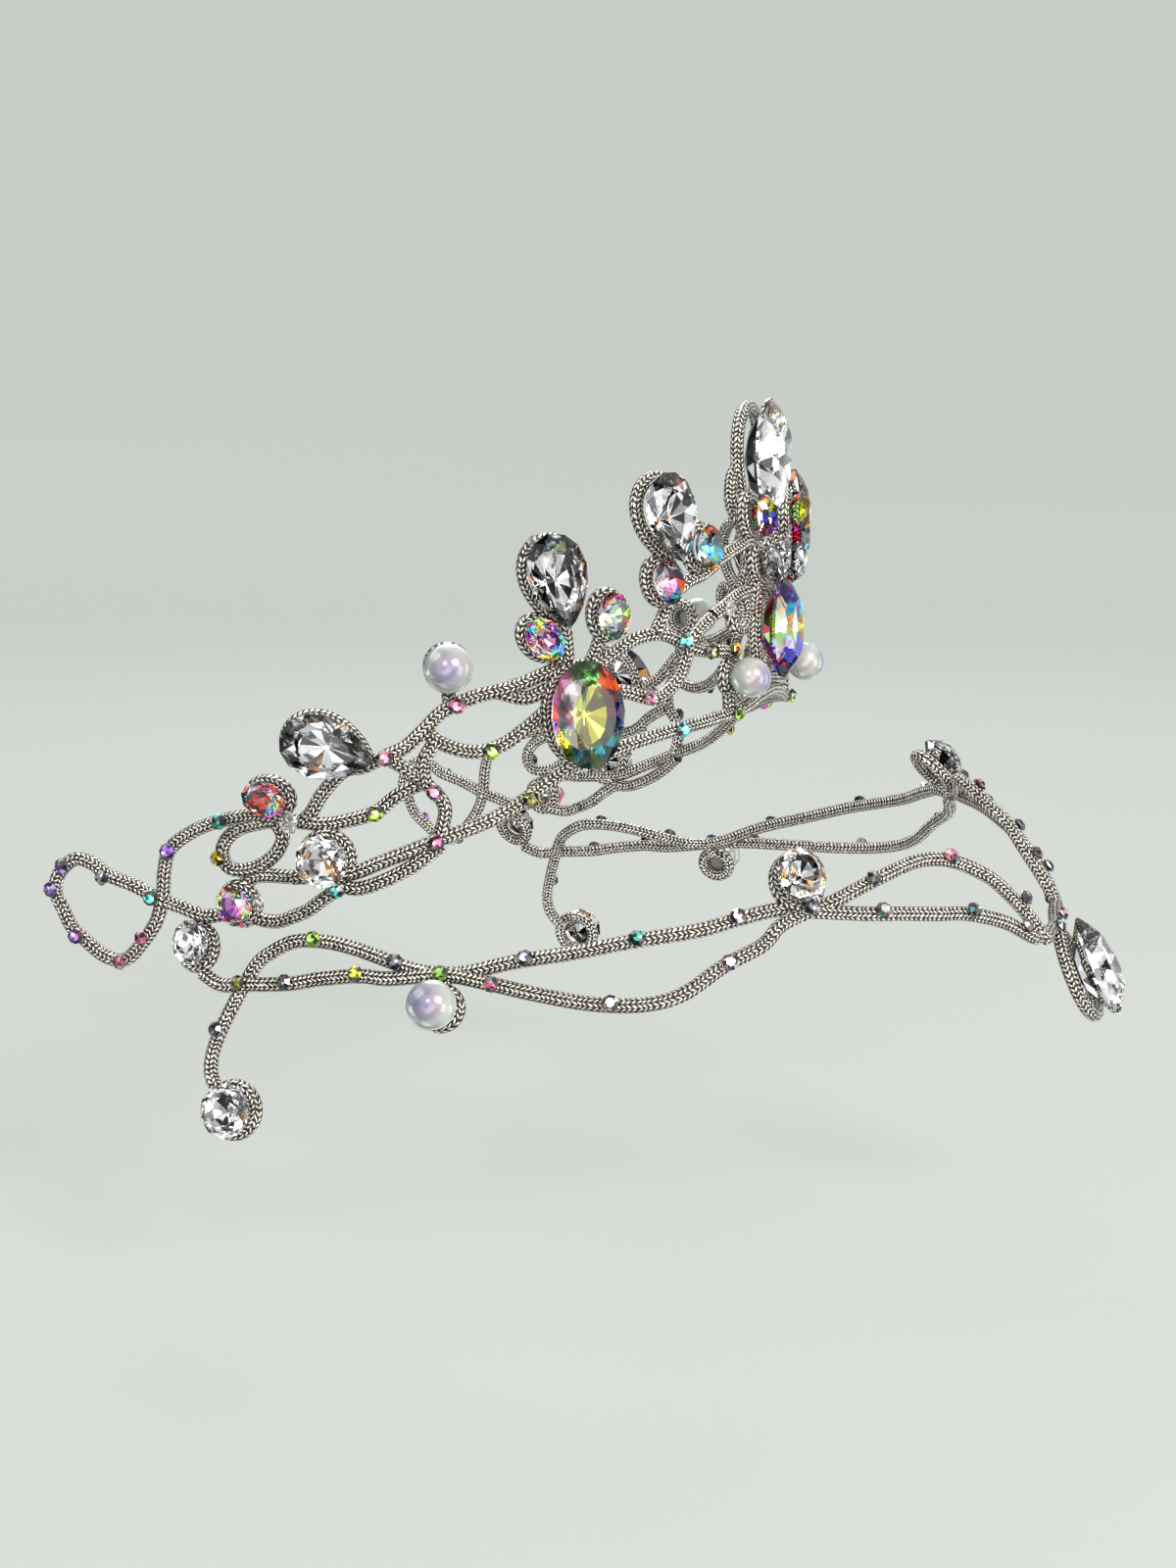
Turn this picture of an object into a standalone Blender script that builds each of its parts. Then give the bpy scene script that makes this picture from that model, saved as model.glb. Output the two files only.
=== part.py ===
"""Ballet tiara: a standing tiara of bound cord and cut stones, with a band across the forehead.

Run with blender --background --python part.py, or from Blender's text editor.
The origin is the crown of the head that wears it. The front faces -Y, +Z is up, and the wearer's
right side is -X. Sizes below are millimetres, and the scene is metres.

The cord work is laid out flat, as it is bent on the bench, and then wrapped to shape:
- the tiara's layout is millimetres along from the centre and millimetres up from the crown
- the band's layout is degrees around from the front and millimetres up from the crown
"""

from collections import namedtuple
from math import cos, pi, radians, sin, sqrt

import bmesh
import bpy
from mathutils import Matrix, Vector

MM = 0.001
WELD_DISTANCE = 1e-6

# Driving sizes
CORD_RADIUS = 1.2
SEAT_GAP = 0.3
JOINT_GAP = 0.4
LOOP_SHARE = 0.86
PEARL_LOOP_SHARE = 0.8
CORD_SIDES = 5
LAYER_STEP = 0.23
LAYERS = 4

# The tiara's bent plan: a round front and straight legs
WING_RADIUS = 66.0
FRONT_REACH = 34.0
LEG_TURN = radians(86.0)

# The head form that the band follows
HEAD_HALF_LENGTH = 103.0
HEAD_HALF_WIDTH = 77.0
HEAD_HEIGHT = 95.0
BAND_CLEAR = 3.0
BAND_LEG_REACH = 85.0
BAND_FACE_TILT = 0.85
LEFT_TEMPLE_LIFT = 9.0
LEFT_TEMPLE_ADVANCE = 14.0

# Where the cord work is parted into frames
CENTRE_END = 21.6
WING_START = CENTRE_END + JOINT_GAP
WING_END = 99.2
TAIL_START = WING_END + JOINT_GAP
BAND_FRONT_END = 7.6
BAND_SIDE_START = BAND_FRONT_END + JOINT_GAP

Stone = namedtuple("Stone", "name cut width length thick along up out lean face look")
Setting = namedtuple("Setting", "point across upward outward")

# Stones on the tiara's middle line
MIDDLE_STONES = (
    # name, cut, width, length, thick, along, up, out, lean, face, look
    Stone("top_pear", "pear", 15.5, 22.0, 5.4, 0.0, 36.9, -4.6, 0.0, 0.0, "clear"),
    Stone("fan_pear_middle", "pear", 4.0, 6.0, 2.6, 0.0, 19.8, -0.8, 0.0, 0.0, "clear"),
    Stone("centre_oval", "oval", 13.0, 18.0, 5.0, 0.0, 7.4, -1.4, 0.0, 0.0, "rainbow"),
)

# Stones that the tiara has on both sides, given for the wearer's right
SIDE_STONES = (
    # name, cut, width, length, thick, along, up, out, lean, face, look
    Stone("top_side_oval", "oval", 6.0, 8.0, 3.2, 11.0, 27.6, 0.0, 25.0, 0.0, "rainbow"),
    Stone("fan_pear", "pear", 5.0, 8.0, 3.0, 7.4, 18.8, 0.0, 35.0, 0.0, "clear"),
    Stone("centre_pearl", "pearl", 7.0, 7.0, 7.0, 16.4, 0.0, -0.4, 0.0, 0.0, "pearl"),
    Stone("front_pear", "pear", 10.5, 15.5, 4.4, 35.5, 27.7, 0.0, 19.0, 0.0, "clear"),
    Stone("front_oval_low", "oval", 6.0, 8.0, 3.2, 35.7, 17.2, 0.0, 20.0, 0.0, "rainbow"),
    Stone("front_oval_side", "oval", 6.0, 8.0, 3.2, 26.9, 22.6, 0.0, 8.0, 0.0, "rainbow"),
    Stone("middle_pear", "pear", 10.5, 15.5, 4.4, 55.9, 17.9, 0.0, 14.0, 0.0, "clear"),
    Stone("middle_oval_back", "oval", 6.0, 8.0, 3.2, 58.0, 8.6, 0.0, 45.0, 0.0, "rainbow"),
    Stone("middle_oval_front", "oval", 6.0, 8.0, 3.2, 46.2, 12.0, 0.0, 5.0, 0.0, "rainbow"),
    Stone("large_oval", "oval", 13.0, 18.0, 5.0, 51.2, -3.9, 0.0, 4.0, 0.0, "rainbow"),
    Stone("wing_pearl", "pearl", 8.0, 8.0, 8.0, 73.2, 4.3, 0.0, 0.0, 0.0, "pearl"),
    Stone("lying_pear", "pear", 10.5, 15.5, 4.4, 92.3, -8.6, 2.2, 72.0, 15.0, "clear"),
    Stone("tail_oval", "oval", 6.0, 8.0, 3.2, 103.0, -17.6, 0.0, 78.0, 0.0, "rainbow"),
    Stone("tail_round", "oval", 9.0, 9.0, 3.8, 93.2, -27.4, 0.0, 0.0, 0.0, "clear"),
    Stone("tail_end_oval", "oval", 6.0, 7.0, 3.2, 108.8, -35.7, 0.0, 30.0, 0.0, "rainbow"),
)

# Stones on the band. Their along is degrees around from the front
BAND_STONES = (
    # name, cut, width, length, thick, around, up, out, lean, face, look
    Stone("temple_round", "oval", 8.0, 9.5, 3.8, 48.9, -30.0, 0.0, 0.0, 0.0, "clear"),
    Stone("band_pearl", "pearl", 8.0, 8.0, 8.0, 89.2, -49.3, 0.0, 0.0, 0.0, "pearl"),
    Stone("tip_oval", "oval", 6.5, 8.0, 3.2, 120.0, -43.25, 0.0, 25.0, 0.0, "clear"),
    Stone("tip_round", "oval", 9.0, 9.0, 3.8, 112.4, -67.8, 0.0, 0.0, 0.0, "clear"),
)
BAND_DROP = Stone("band_drop", "pear", 13.0, 18.0, 5.0, 0.0, -49.4, -4.2, 180.0, 0.0, "clear")

# Routes of the cord on the tiara, along and up, chosen by eye for the wearer's right
CENTRE_CROSSING = (
    ((-CENTRE_END, -6.9), (-16.4, -6.4), (-12.0, -5.8), (-6.0, -4.4), (0.0, -3.8),
     (6.0, -4.4), (12.0, -5.8), (16.4, -6.4), (CENTRE_END, -6.9)),
    ((-14.2, -2.0), (-10.6, -2.8), (-7.0, -2.5), (-3.0, -2.1, -0.8), (0.0, -1.9, -1.0),
     (3.0, -2.1, -0.8), (7.0, -2.5), (10.6, -2.8), (14.2, -2.0)),
    ((0.0, 14.6, -1.4), (0.0, 18.0, -1.4), (0.0, 20.8, -4.0), (0.0, 24.6, -4.9)),
)
CENTRE_STRANDS = (
    ((5.4, 9.0, -1.6), (7.2, 14.0, -0.6), (8.0, 19.0), (9.4, 24.0, -1.0), (9.0, 29.0, -4.0),
     (7.6, 33.4, -4.8)),
    ((8.6, 22.0), (11.0, 23.0), (15.0, 22.0), (CENTRE_END, 19.7)),
    ((7.2, 13.8, -0.9), (10.6, 14.2), (14.4, 13.6), (18.4, 12.0), (CENTRE_END, 10.7)),
    ((11.4, 14.0), (9.9, 10.8), (11.6, 8.0), (14.4, 8.2), (15.2, 10.2), (13.4, 11.0)),
    ((16.0, 3.0), (18.4, 4.4), (CENTRE_END, 4.7)),
    ((16.8, -2.8), (16.4, -6.4)),
)
WING_STRANDS = (
    # the spray rail under the two front ovals
    ((WING_START, 19.5), (25.2, 17.9), (29.0, 16.8), (32.8, 14.0), (34.6, 11.0), (36.2, 8.4)),
    # the tip of the front pear
    ((33.6, 21.6), (32.4, 19.0), (31.4, 15.6)),
    # the upper rail
    ((WING_START, 4.7), (24.6, 5.0), (28.2, 6.0), (34.0, 8.2), (39.8, 7.8), (44.6, 5.4), (48.2, 3.4)),
    # the strand that feeds the large oval
    ((WING_START, 10.5), (24.6, 8.8), (26.8, 6.8), (28.6, 3.4), (30.4, 0.3), (34.8, -2.4),
     (38.4, -2.0), (42.5, -0.9), (46.4, -1.4)),
    # the lower rail
    ((WING_START, -6.95), (25.2, -7.3), (31.0, -7.9), (37.0, -8.8), (42.5, -10.0), (48.0, -11.6),
     (53.2, -13.2), (60.0, -17.6), (66.6, -21.2), (75.2, -24.3), (83.4, -27.5), (90.0, -30.0),
     (WING_END, -30.9)),
    # the middle pear and its two ovals
    ((54.3, 12.2), (53.4, 9.0), (53.0, 5.0)),
    ((57.0, 6.6), (55.4, 5.4), (53.4, 4.2)),
    ((46.6, 9.0), (47.6, 6.0), (49.2, 3.4)),
    # the two strands from the pearl to the large oval
    ((55.4, 3.4), (57.9, 2.4), (63.2, 0.5), (68.8, -0.8), (73.8, -3.0), (77.0, -6.0), (80.0, -8.8),
     (83.6, -10.5)),
    ((56.4, 0.2), (60.4, -1.2), (64.8, -0.2)),
    # the curve below the pearl
    ((56.6, -3.4), (60.0, -6.1), (64.4, -8.9), (69.0, -9.8), (73.7, -8.6), (77.2, -6.2)),
    ((73.2, 1.2), (72.8, -2.4)),
    ((75.2, -7.8), (77.2, -11.4), (76.9, -15.4)),
    # from the joint beside the lying pear down to the lower rail
    ((83.6, -10.5), (80.6, -12.2), (76.9, -14.8), (73.9, -18.4), (74.2, -22.0), (75.2, -24.3)),
    ((83.6, -10.5), (87.0, -12.2), (90.4, -13.0), (94.0, -16.6), (96.2, -20.0), (98.0, -21.7)),
    ((77.0, -14.6), (81.7, -17.0), (85.2, -19.7), (90.4, -21.3), (94.2, -21.9), (WING_END, -21.6)),
    # the second lower rail
    ((74.4, -25.0), (78.4, -28.0), (83.4, -30.7), (88.4, -32.3), (92.4, -31.4)),
    ((90.4, -31.9), (93.8, -34.0), (96.8, -36.2), (WING_END, -37.4)),
)
TAIL_STRANDS = (
    # the long looped tail
    ((TAIL_START, -21.6), (102.3, -21.1), (106.1, -20.9), (111.8, -21.9), (117.3, -24.0),
     (121.6, -27.2), (122.8, -31.0), (123.2, -35.0), (124.4, -39.4), (127.0, -43.2), (130.5, -46.6),
     (134.4, -46.2), (137.8, -43.8), (140.4, -41.6), (142.0, -38.6), (143.4, -35.6), (142.4, -32.2),
     (139.4, -29.8), (136.2, -30.4), (133.4, -32.2), (128.4, -33.8), (124.2, -35.6), (120.0, -36.9),
     (115.3, -38.2), (111.4, -37.6)),
    # the small loop
    ((102.0, -21.4), (108.4, -23.0), (111.4, -25.2), (112.2, -27.8), (110.8, -29.9), (107.6, -30.0),
     (104.3, -28.6), (102.0, -26.4), (101.2, -24.0), (102.6, -21.6)),
    # the end of the lower rail
    ((TAIL_START, -30.9), (105.5, -31.0), (108.6, -32.6)),
    ((TAIL_START, -37.4), (102.4, -38.5), (105.8, -38.4), (107.6, -37.6)),
)

# Routes of the cord on the band, degrees around and millimetres up
BAND_FRONT_CROSSING = (
    ((-BAND_FRONT_END, -42.0, -2.4), (-4.0, -41.4, -2.8), (0.0, -41.2, -2.9), (4.0, -41.4, -2.8),
     (BAND_FRONT_END, -42.0, -2.4)),
    ((0.0, -41.0, -3.1), (0.0, -43.4, -4.0)),
)
BAND_STRANDS = (
    # the front arch and the strand under it
    ((BAND_SIDE_START, -42.05, -2.3), (10.0, -41.8, -2.0), (11.2, -38.6, -1.4),
     (13.4, -35.2, -0.8), (16.4, -32.2), (20.4, -29.5), (24.4, -28.3), (29.2, -28.2), (35.6, -29.6),
     (40.4, -31.1), (44.8, -32.8), (48.4, -34.0)),
    ((10.0, -41.8, -2.2), (13.6, -41.2, -1.4), (18.8, -38.4, -0.6), (25.6, -36.4), (30.8, -35.8),
     (36.0, -35.2), (41.2, -34.8), (48.4, -34.0)),
    # the tie up to the temple stone
    ((48.4, -34.2), (48.7, -33.2), (48.9, -31.6)),
    # the two strands over the temple
    ((48.4, -34.0), (52.0, -33.4), (57.2, -34.6), (62.0, -36.2), (70.0, -38.0), (76.0, -39.8),
     (82.4, -41.6), (88.0, -43.8), (92.8, -44.0), (98.0, -42.4), (101.2, -41.4), (104.8, -40.8),
     (108.6, -41.2), (111.6, -43.6), (112.8, -45.6), (113.6, -48.4)),
    ((48.4, -34.0), (52.6, -35.9), (55.4, -38.7), (60.0, -41.5), (64.8, -45.6), (68.8, -47.2),
     (74.0, -47.3), (80.0, -46.2), (85.2, -45.0), (89.6, -44.4), (96.0, -45.6), (99.6, -45.6),
     (104.4, -46.6), (108.0, -47.7), (113.6, -48.4)),
    # the tie down to the pearl
    ((89.6, -44.6), (89.3, -46.9)),
    # the tips
    ((113.2, -48.2), (116.4, -48.7), (119.0, -47.2)),
    ((113.6, -48.2), (115.2, -54.0), (116.2, -59.2), (116.0, -63.0), (114.4, -66.0)),
)

# Finishes: colour, roughness, metallic
FINISHES = {
    "bound_cord": ((0.72, 0.69, 0.63), 0.35, 1.0),
    "clear": ((0.80, 0.82, 0.85), 0.05, 0.6),
    "rainbow": ((0.45, 0.62, 0.70), 0.05, 0.7),
    "pearl": ((0.86, 0.82, 0.84), 0.25, 0.1),
}


def clear_scene():
    """Remove the objects that the scene starts with."""
    for item in list(bpy.data.objects):
        bpy.data.objects.remove(item, do_unlink=True)


def make_finish(name):
    """A plain Principled material of the named finish."""
    colour, roughness, metallic = FINISHES[name]
    material = bpy.data.materials.new(name)
    material.use_nodes = True
    shader = material.node_tree.nodes["Principled BSDF"]
    shader.inputs["Base Color"].default_value = (*colour, 1.0)
    shader.inputs["Roughness"].default_value = roughness
    shader.inputs["Metallic"].default_value = metallic
    material.diffuse_color = (*colour, 1.0)
    return material


def tiara_setting(along, up, out=0.0):
    """Place and directions on the tiara's bent plan. Positive along is the wearer's right."""
    side = 1.0 if along >= 0.0 else -1.0
    turn = min(abs(along) / WING_RADIUS, LEG_TURN)
    leg = abs(along) - turn * WING_RADIUS
    fore = FRONT_REACH - WING_RADIUS + (WING_RADIUS + out) * cos(turn) - leg * sin(turn)
    wide = (WING_RADIUS + out) * sin(turn) + leg * cos(turn)
    outward = Vector((-side * sin(turn), -cos(turn), 0.0))
    upward = Vector((0.0, 0.0, 1.0))
    return Setting(Vector((-side * wide, -fore, up)), upward.cross(outward), upward, outward)


def band_setting(around, up, out=0.0):
    """Place and directions on the head form. Positive around is the wearer's right."""
    side = 1.0 if around >= 0.0 else -1.0
    turn = radians(min(abs(around), 90.0))
    leg = radians(abs(around)) - turn
    if side < 0.0:
        up += LEFT_TEMPLE_LIFT * sin(2.0 * turn)
        turn -= radians(LEFT_TEMPLE_ADVANCE) * sin(2.0 * turn) ** 2
    half_length = HEAD_HALF_LENGTH + BAND_CLEAR
    half_width = HEAD_HALF_WIDTH + BAND_CLEAR
    height = HEAD_HEIGHT + BAND_CLEAR
    ring = sqrt(1.0 - ((up + HEAD_HEIGHT) / height) ** 2)
    fore = half_length * ring * cos(turn)
    wide = half_width * ring * sin(turn)
    outward = Vector((-side * wide / half_width ** 2, -fore / half_length ** 2,
                      BAND_FACE_TILT * (up + HEAD_HEIGHT) / height ** 2)).normalized()
    point = Vector((-side * wide, -fore + leg * BAND_LEG_REACH, up)) + outward * out
    upward = (Vector((0.0, 0.0, 1.0)) - outward * outward.z).normalized()
    return Setting(point, upward.cross(outward), upward, outward)


def corner_count(stone):
    """How many corners a stone's girdle has."""
    return 20 if stone.length > 20.0 else 16 if stone.length > 10.0 else 10


def stone_outline(stone, count, share=1.0, half_step=False):
    """The stone's outline at a share of its size, counter-clockwise from its round end."""
    outline = []
    for index in range(count):
        angle = 2.0 * pi * (index + (0.5 if half_step else 0.0)) / count
        across = -0.5 * stone.width * sin(angle)
        if stone.cut == "pear":
            across *= 1.16 * abs(cos(0.5 * angle)) ** 0.55
        outline.append((across * share, 0.5 * stone.length * cos(angle) * share))
    return outline


def turned(point, lean):
    """A point in the stone's plane turned by its lean, in degrees towards the wearer's right."""
    angle = radians(lean)
    return (point[0] * cos(angle) - point[1] * sin(angle), point[0] * sin(angle) + point[1] * cos(angle))


# Rings of a cut stone from its foil back to its table
LARGE_STONE_RINGS = (
    # share of outline, share of height, half step
    (0.74, 0.00, False),
    (1.00, 0.40, False),
    (1.00, 0.50, False),
    (0.84, 0.76, True),
    (0.56, 1.00, False),
)
SMALL_STONE_RINGS = (
    # share of outline, share of height, half step
    (0.74, 0.00, False),
    (1.00, 0.40, False),
    (1.00, 0.52, False),
    (0.58, 1.00, True),
)


def cut_stone_mesh(stone):
    """A foiled stone: flat back, girdle, two rows of crown facets and a table."""
    shape = bmesh.new()
    rows = LARGE_STONE_RINGS if stone.length > 10.0 else SMALL_STONE_RINGS
    count = corner_count(stone)
    back = stone_outline(stone, count, rows[0][0])
    ring = [shape.verts.new((x * MM, y * MM, 0.0)) for x, y in back]
    shape.faces.new(ring)
    for share, rise, half_step in rows[1:]:
        corners = stone_outline(stone, count, share, half_step)
        height = rise * stone.thick
        upper = [shape.verts.new((x * MM, y * MM, height * MM)) for x, y in corners]
        edges = [shape.edges.new((upper[i - 1], upper[i])) for i in range(len(upper))]
        edges += [shape.edges.get((ring[i - 1], ring[i])) for i in range(len(ring))]
        bmesh.ops.bridge_loops(shape, edges=edges)
        ring = upper
    shape.faces.new(ring)
    sides = [face for face in shape.faces if len(face.verts) == 4]
    bmesh.ops.triangulate(shape, faces=sides, quad_method="SHORT_EDGE")
    bmesh.ops.recalc_face_normals(shape, faces=shape.faces)
    mesh = bpy.data.meshes.new(stone.name)
    shape.to_mesh(mesh)
    shape.free()
    return mesh


def pearl_mesh(stone):
    """A round bead."""
    shape = bmesh.new()
    bmesh.ops.create_uvsphere(shape, u_segments=10, v_segments=8, radius=0.5 * stone.width * MM)
    mesh = bpy.data.meshes.new(stone.name)
    shape.to_mesh(mesh)
    shape.free()
    return mesh


def stone_rise(stone):
    """How far a stone's own origin stands outside the middle of the cord that carries it."""
    if stone.cut != "pearl":
        return CORD_RADIUS + SEAT_GAP
    reach = 0.5 * stone.width + CORD_RADIUS + SEAT_GAP
    ring = 0.5 * stone.width * PEARL_LOOP_SHARE
    return sqrt(reach ** 2 - ring ** 2)


def place_stone(stone, setting_of, side):
    """Make a stone and set it on its loop, on the given side of the head."""
    setting = stone_setting(stone, setting_of, side)
    mesh = pearl_mesh(stone) if stone.cut == "pearl" else cut_stone_mesh(stone)
    mesh.materials.append(FINISH[stone.look])
    prefix = "" if stone.along == 0.0 else SIDE_NAMES[side]
    item = bpy.data.objects.new(prefix + stone.name, mesh)
    bpy.context.collection.objects.link(item)
    lean = Matrix.Rotation(radians(stone.lean) * side, 3, "Z")
    axes = Matrix((setting.across, setting.upward, setting.outward)).transposed() @ lean
    place = setting.point + setting.outward * stone_rise(stone)
    item.matrix_world = Matrix.Translation(place * MM) @ axes.to_4x4()
    item.parent = HEAD_SEAT


def stone_loop(stone, setting_of, side):
    """Points of the closed cord loop that carries a stone, in the stone's own plane."""
    setting = stone_setting(stone, setting_of, side)
    share = PEARL_LOOP_SHARE if stone.cut == "pearl" else LOOP_SHARE
    count = 8 + 2 * (stone.length > 10.0) + 4 * (stone.length > 17.0)
    points = []
    for x, y in stone_outline(stone, count, share):
        x, y = turned((x, y), stone.lean)
        points.append(setting.point + setting.across * x * side + setting.upward * y)
    return points


def strand_paths(routes, setting_of, side):
    """Points of open strands, wrapped from their flat routes and layered behind the loops.

    A row of a route is along and up, and a third value stands it out from the plan.
    """
    paths = []
    for number, route in enumerate(routes):
        layer = -LAYER_STEP * (1 + number % LAYERS)
        points = []
        for row in route:
            out = layer + (row[2] if len(row) > 2 else 0.0)
            points.append(setting_of(side * row[0], row[1], out).point)
        paths.append(points)
    return paths


def stone_setting(stone, setting_of, side):
    """Where a stone's loop sits, turned so that the stone faces further forward."""
    flat = setting_of(side * stone.along, stone.up, stone.out)
    turn = Matrix.Rotation(radians(side * stone.face), 3, flat.upward)
    return Setting(flat.point, turn @ flat.across, flat.upward, turn @ flat.outward)


def cord_section():
    """The cord's section, a ring of corners on its radius, for the tubes to follow."""
    ring = bpy.data.curves.new("cord_section", "CURVE")
    ring.dimensions = "2D"
    spline = ring.splines.new("POLY")
    spline.points.add(CORD_SIDES - 1)
    for index, knot in enumerate(spline.points):
        angle = 2.0 * pi * index / CORD_SIDES
        knot.co = (CORD_RADIUS * MM * cos(angle), CORD_RADIUS * MM * sin(angle), 0.0, 1.0)
    spline.use_cyclic_u = True
    section = bpy.data.objects.new("cord_section", ring)
    bpy.context.collection.objects.link(section)
    return section


def cord_tube(points, closed):
    """A tube of the cord along the points, with filled ends, as a loose object."""
    curve = bpy.data.curves.new("cord", "CURVE")
    curve.dimensions = "3D"
    curve.bevel_mode = "OBJECT"
    curve.bevel_object = CORD_SECTION
    curve.use_fill_caps = True
    spline = curve.splines.new("POLY")
    spline.points.add(len(points) - 1)
    for knot, point in zip(spline.points, points):
        knot.co = (*(point * MM), 1.0)
    spline.use_cyclic_u = closed
    source = bpy.data.objects.new("cord_source", curve)
    bpy.context.collection.objects.link(source)
    shown = source.evaluated_get(bpy.context.evaluated_depsgraph_get())
    mesh = bpy.data.meshes.new_from_object(shown)
    bpy.data.objects.remove(source, do_unlink=True)
    shape = bmesh.new()
    shape.from_mesh(mesh)
    bmesh.ops.remove_doubles(shape, verts=shape.verts, dist=WELD_DISTANCE)
    bmesh.ops.recalc_face_normals(shape, faces=shape.faces)
    shape.to_mesh(mesh)
    shape.free()
    return bpy.data.objects.new("cord_tube", mesh)


def fused_frame(name, loops, strands):
    """Fuse the cord loops and strands of one frame into a single solid."""
    tubes = [cord_tube(points, True) for points in loops]
    tubes += [cord_tube(points, False) for points in strands]
    group = bpy.data.collections.new(name + "_cords")
    bpy.context.scene.collection.children.link(group)
    for tube in tubes[1:]:
        group.objects.link(tube)
    bpy.context.scene.collection.objects.link(tubes[0])
    join = tubes[0].modifiers.new("Fuse", "BOOLEAN")
    join.operation = "UNION"
    join.solver = "EXACT"
    join.operand_type = "COLLECTION"
    join.collection = group
    join.use_self = True
    bpy.context.view_layer.update()
    shown = tubes[0].evaluated_get(bpy.context.evaluated_depsgraph_get())
    mesh = bpy.data.meshes.new_from_object(shown)
    for tube in tubes:
        bpy.data.objects.remove(tube, do_unlink=True)
    bpy.data.collections.remove(group)
    mesh.materials.clear()
    mesh.materials.append(FINISH["bound_cord"])
    frame = bpy.data.objects.new(name, mesh)
    bpy.context.collection.objects.link(frame)
    frame.parent = HEAD_SEAT


def parted(stones, low, high):
    """The stones whose place along lies between the two limits."""
    return [stone for stone in stones if low <= stone.along < high]


def build_centre():
    """The tall middle of the tiara: its cord frame and its stones."""
    loops = [stone_loop(stone, tiara_setting, 1) for stone in MIDDLE_STONES]
    strands = strand_paths(CENTRE_CROSSING, tiara_setting, 1)
    for side in (1, -1):
        for stone in parted(SIDE_STONES, 0.0, CENTRE_END):
            loops.append(stone_loop(stone, tiara_setting, side))
            place_stone(stone, tiara_setting, side)
        strands += strand_paths(CENTRE_STRANDS, tiara_setting, side)
    for stone in MIDDLE_STONES:
        place_stone(stone, tiara_setting, 1)
    fused_frame("centre_frame", loops, strands)


def build_side_frame(name, side, stones, routes, setting_of):
    """One side's frame and the stones that it carries."""
    loops = [stone_loop(stone, setting_of, side) for stone in stones]
    strands = strand_paths(routes, setting_of, side)
    for stone in stones:
        place_stone(stone, setting_of, side)
    fused_frame(SIDE_NAMES[side] + name, loops, strands)


def build_band_front():
    """The middle of the band, with the loop that carries the drop."""
    place_stone(BAND_DROP, band_setting, 1)
    loops = [stone_loop(BAND_DROP, band_setting, 1)]
    strands = strand_paths(BAND_FRONT_CROSSING, band_setting, 1)
    fused_frame("band_front_frame", loops, strands)


SIDE_NAMES = {1: "right_", -1: "left_"}

clear_scene()
FINISH = {finish: make_finish(finish) for finish in FINISHES}
CORD_SECTION = cord_section()
HEAD_SEAT = bpy.data.objects.new("head_seat", None)
bpy.context.collection.objects.link(HEAD_SEAT)

build_centre()
build_band_front()
for which in (1, -1):
    build_side_frame("wing_frame", which, parted(SIDE_STONES, CENTRE_END, TAIL_START),
                     WING_STRANDS, tiara_setting)
    build_side_frame("tail_frame", which, parted(SIDE_STONES, TAIL_START, 200.0),
                     TAIL_STRANDS, tiara_setting)
    build_side_frame("band_frame", which, BAND_STONES, BAND_STRANDS, band_setting)
bpy.data.objects.remove(CORD_SECTION, do_unlink=True)
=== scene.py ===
# %% [markdown]
# # A ballet tiara of bound cord, cut stones and pearls
#
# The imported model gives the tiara's frames, stones and pearls at their real size. This lesson dresses
# them. The cord gets its metallic braid, the stones get a point and a foil behind them, and the pearls
# get their skin. The tiny round stones along the cord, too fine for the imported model, are added here.

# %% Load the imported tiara
from collections import namedtuple
from math import atan2, cos, pi, radians, sin, sqrt
from random import Random

import bpy
from mathutils import Matrix, Vector, noise
from mathutils.kdtree import KDTree


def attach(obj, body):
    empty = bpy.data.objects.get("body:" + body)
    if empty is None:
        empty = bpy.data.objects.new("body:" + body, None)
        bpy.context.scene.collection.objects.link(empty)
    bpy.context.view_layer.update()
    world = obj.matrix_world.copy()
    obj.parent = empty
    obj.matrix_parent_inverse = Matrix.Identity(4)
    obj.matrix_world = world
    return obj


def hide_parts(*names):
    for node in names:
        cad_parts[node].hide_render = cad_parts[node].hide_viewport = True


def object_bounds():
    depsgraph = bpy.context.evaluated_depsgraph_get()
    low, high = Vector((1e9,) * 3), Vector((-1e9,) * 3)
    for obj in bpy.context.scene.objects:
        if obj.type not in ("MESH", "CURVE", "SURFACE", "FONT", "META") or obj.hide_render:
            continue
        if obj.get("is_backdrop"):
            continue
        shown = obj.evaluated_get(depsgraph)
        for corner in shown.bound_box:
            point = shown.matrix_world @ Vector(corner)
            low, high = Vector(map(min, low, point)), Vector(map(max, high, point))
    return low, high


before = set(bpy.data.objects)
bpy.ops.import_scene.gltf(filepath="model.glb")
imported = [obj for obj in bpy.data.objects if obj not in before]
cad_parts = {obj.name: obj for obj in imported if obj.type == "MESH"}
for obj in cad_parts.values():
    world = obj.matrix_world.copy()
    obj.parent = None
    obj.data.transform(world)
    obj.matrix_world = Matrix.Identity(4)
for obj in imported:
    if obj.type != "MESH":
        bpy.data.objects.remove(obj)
cad_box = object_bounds()
MM = 0.001
print("packed pieces:", len(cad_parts))

# %% [markdown]
# ## The bent plan
#
# A maker bends this headpiece flat, over a drawing, and then wraps it to the head. The lesson does the
# same. The tiara's drawing is millimetres along from the centre and up from the crown. The band's is
# degrees around from the front and millimetres up. Two functions wrap a place on a drawing to the head
# and give the directions across, up and outward there.

# %% Wrap the flat drawing to the head
Setting = namedtuple("Setting", "point across upward outward")
WING_RADIUS = 66.0
FRONT_REACH = 34.0
LEG_TURN = radians(86.0)


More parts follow.
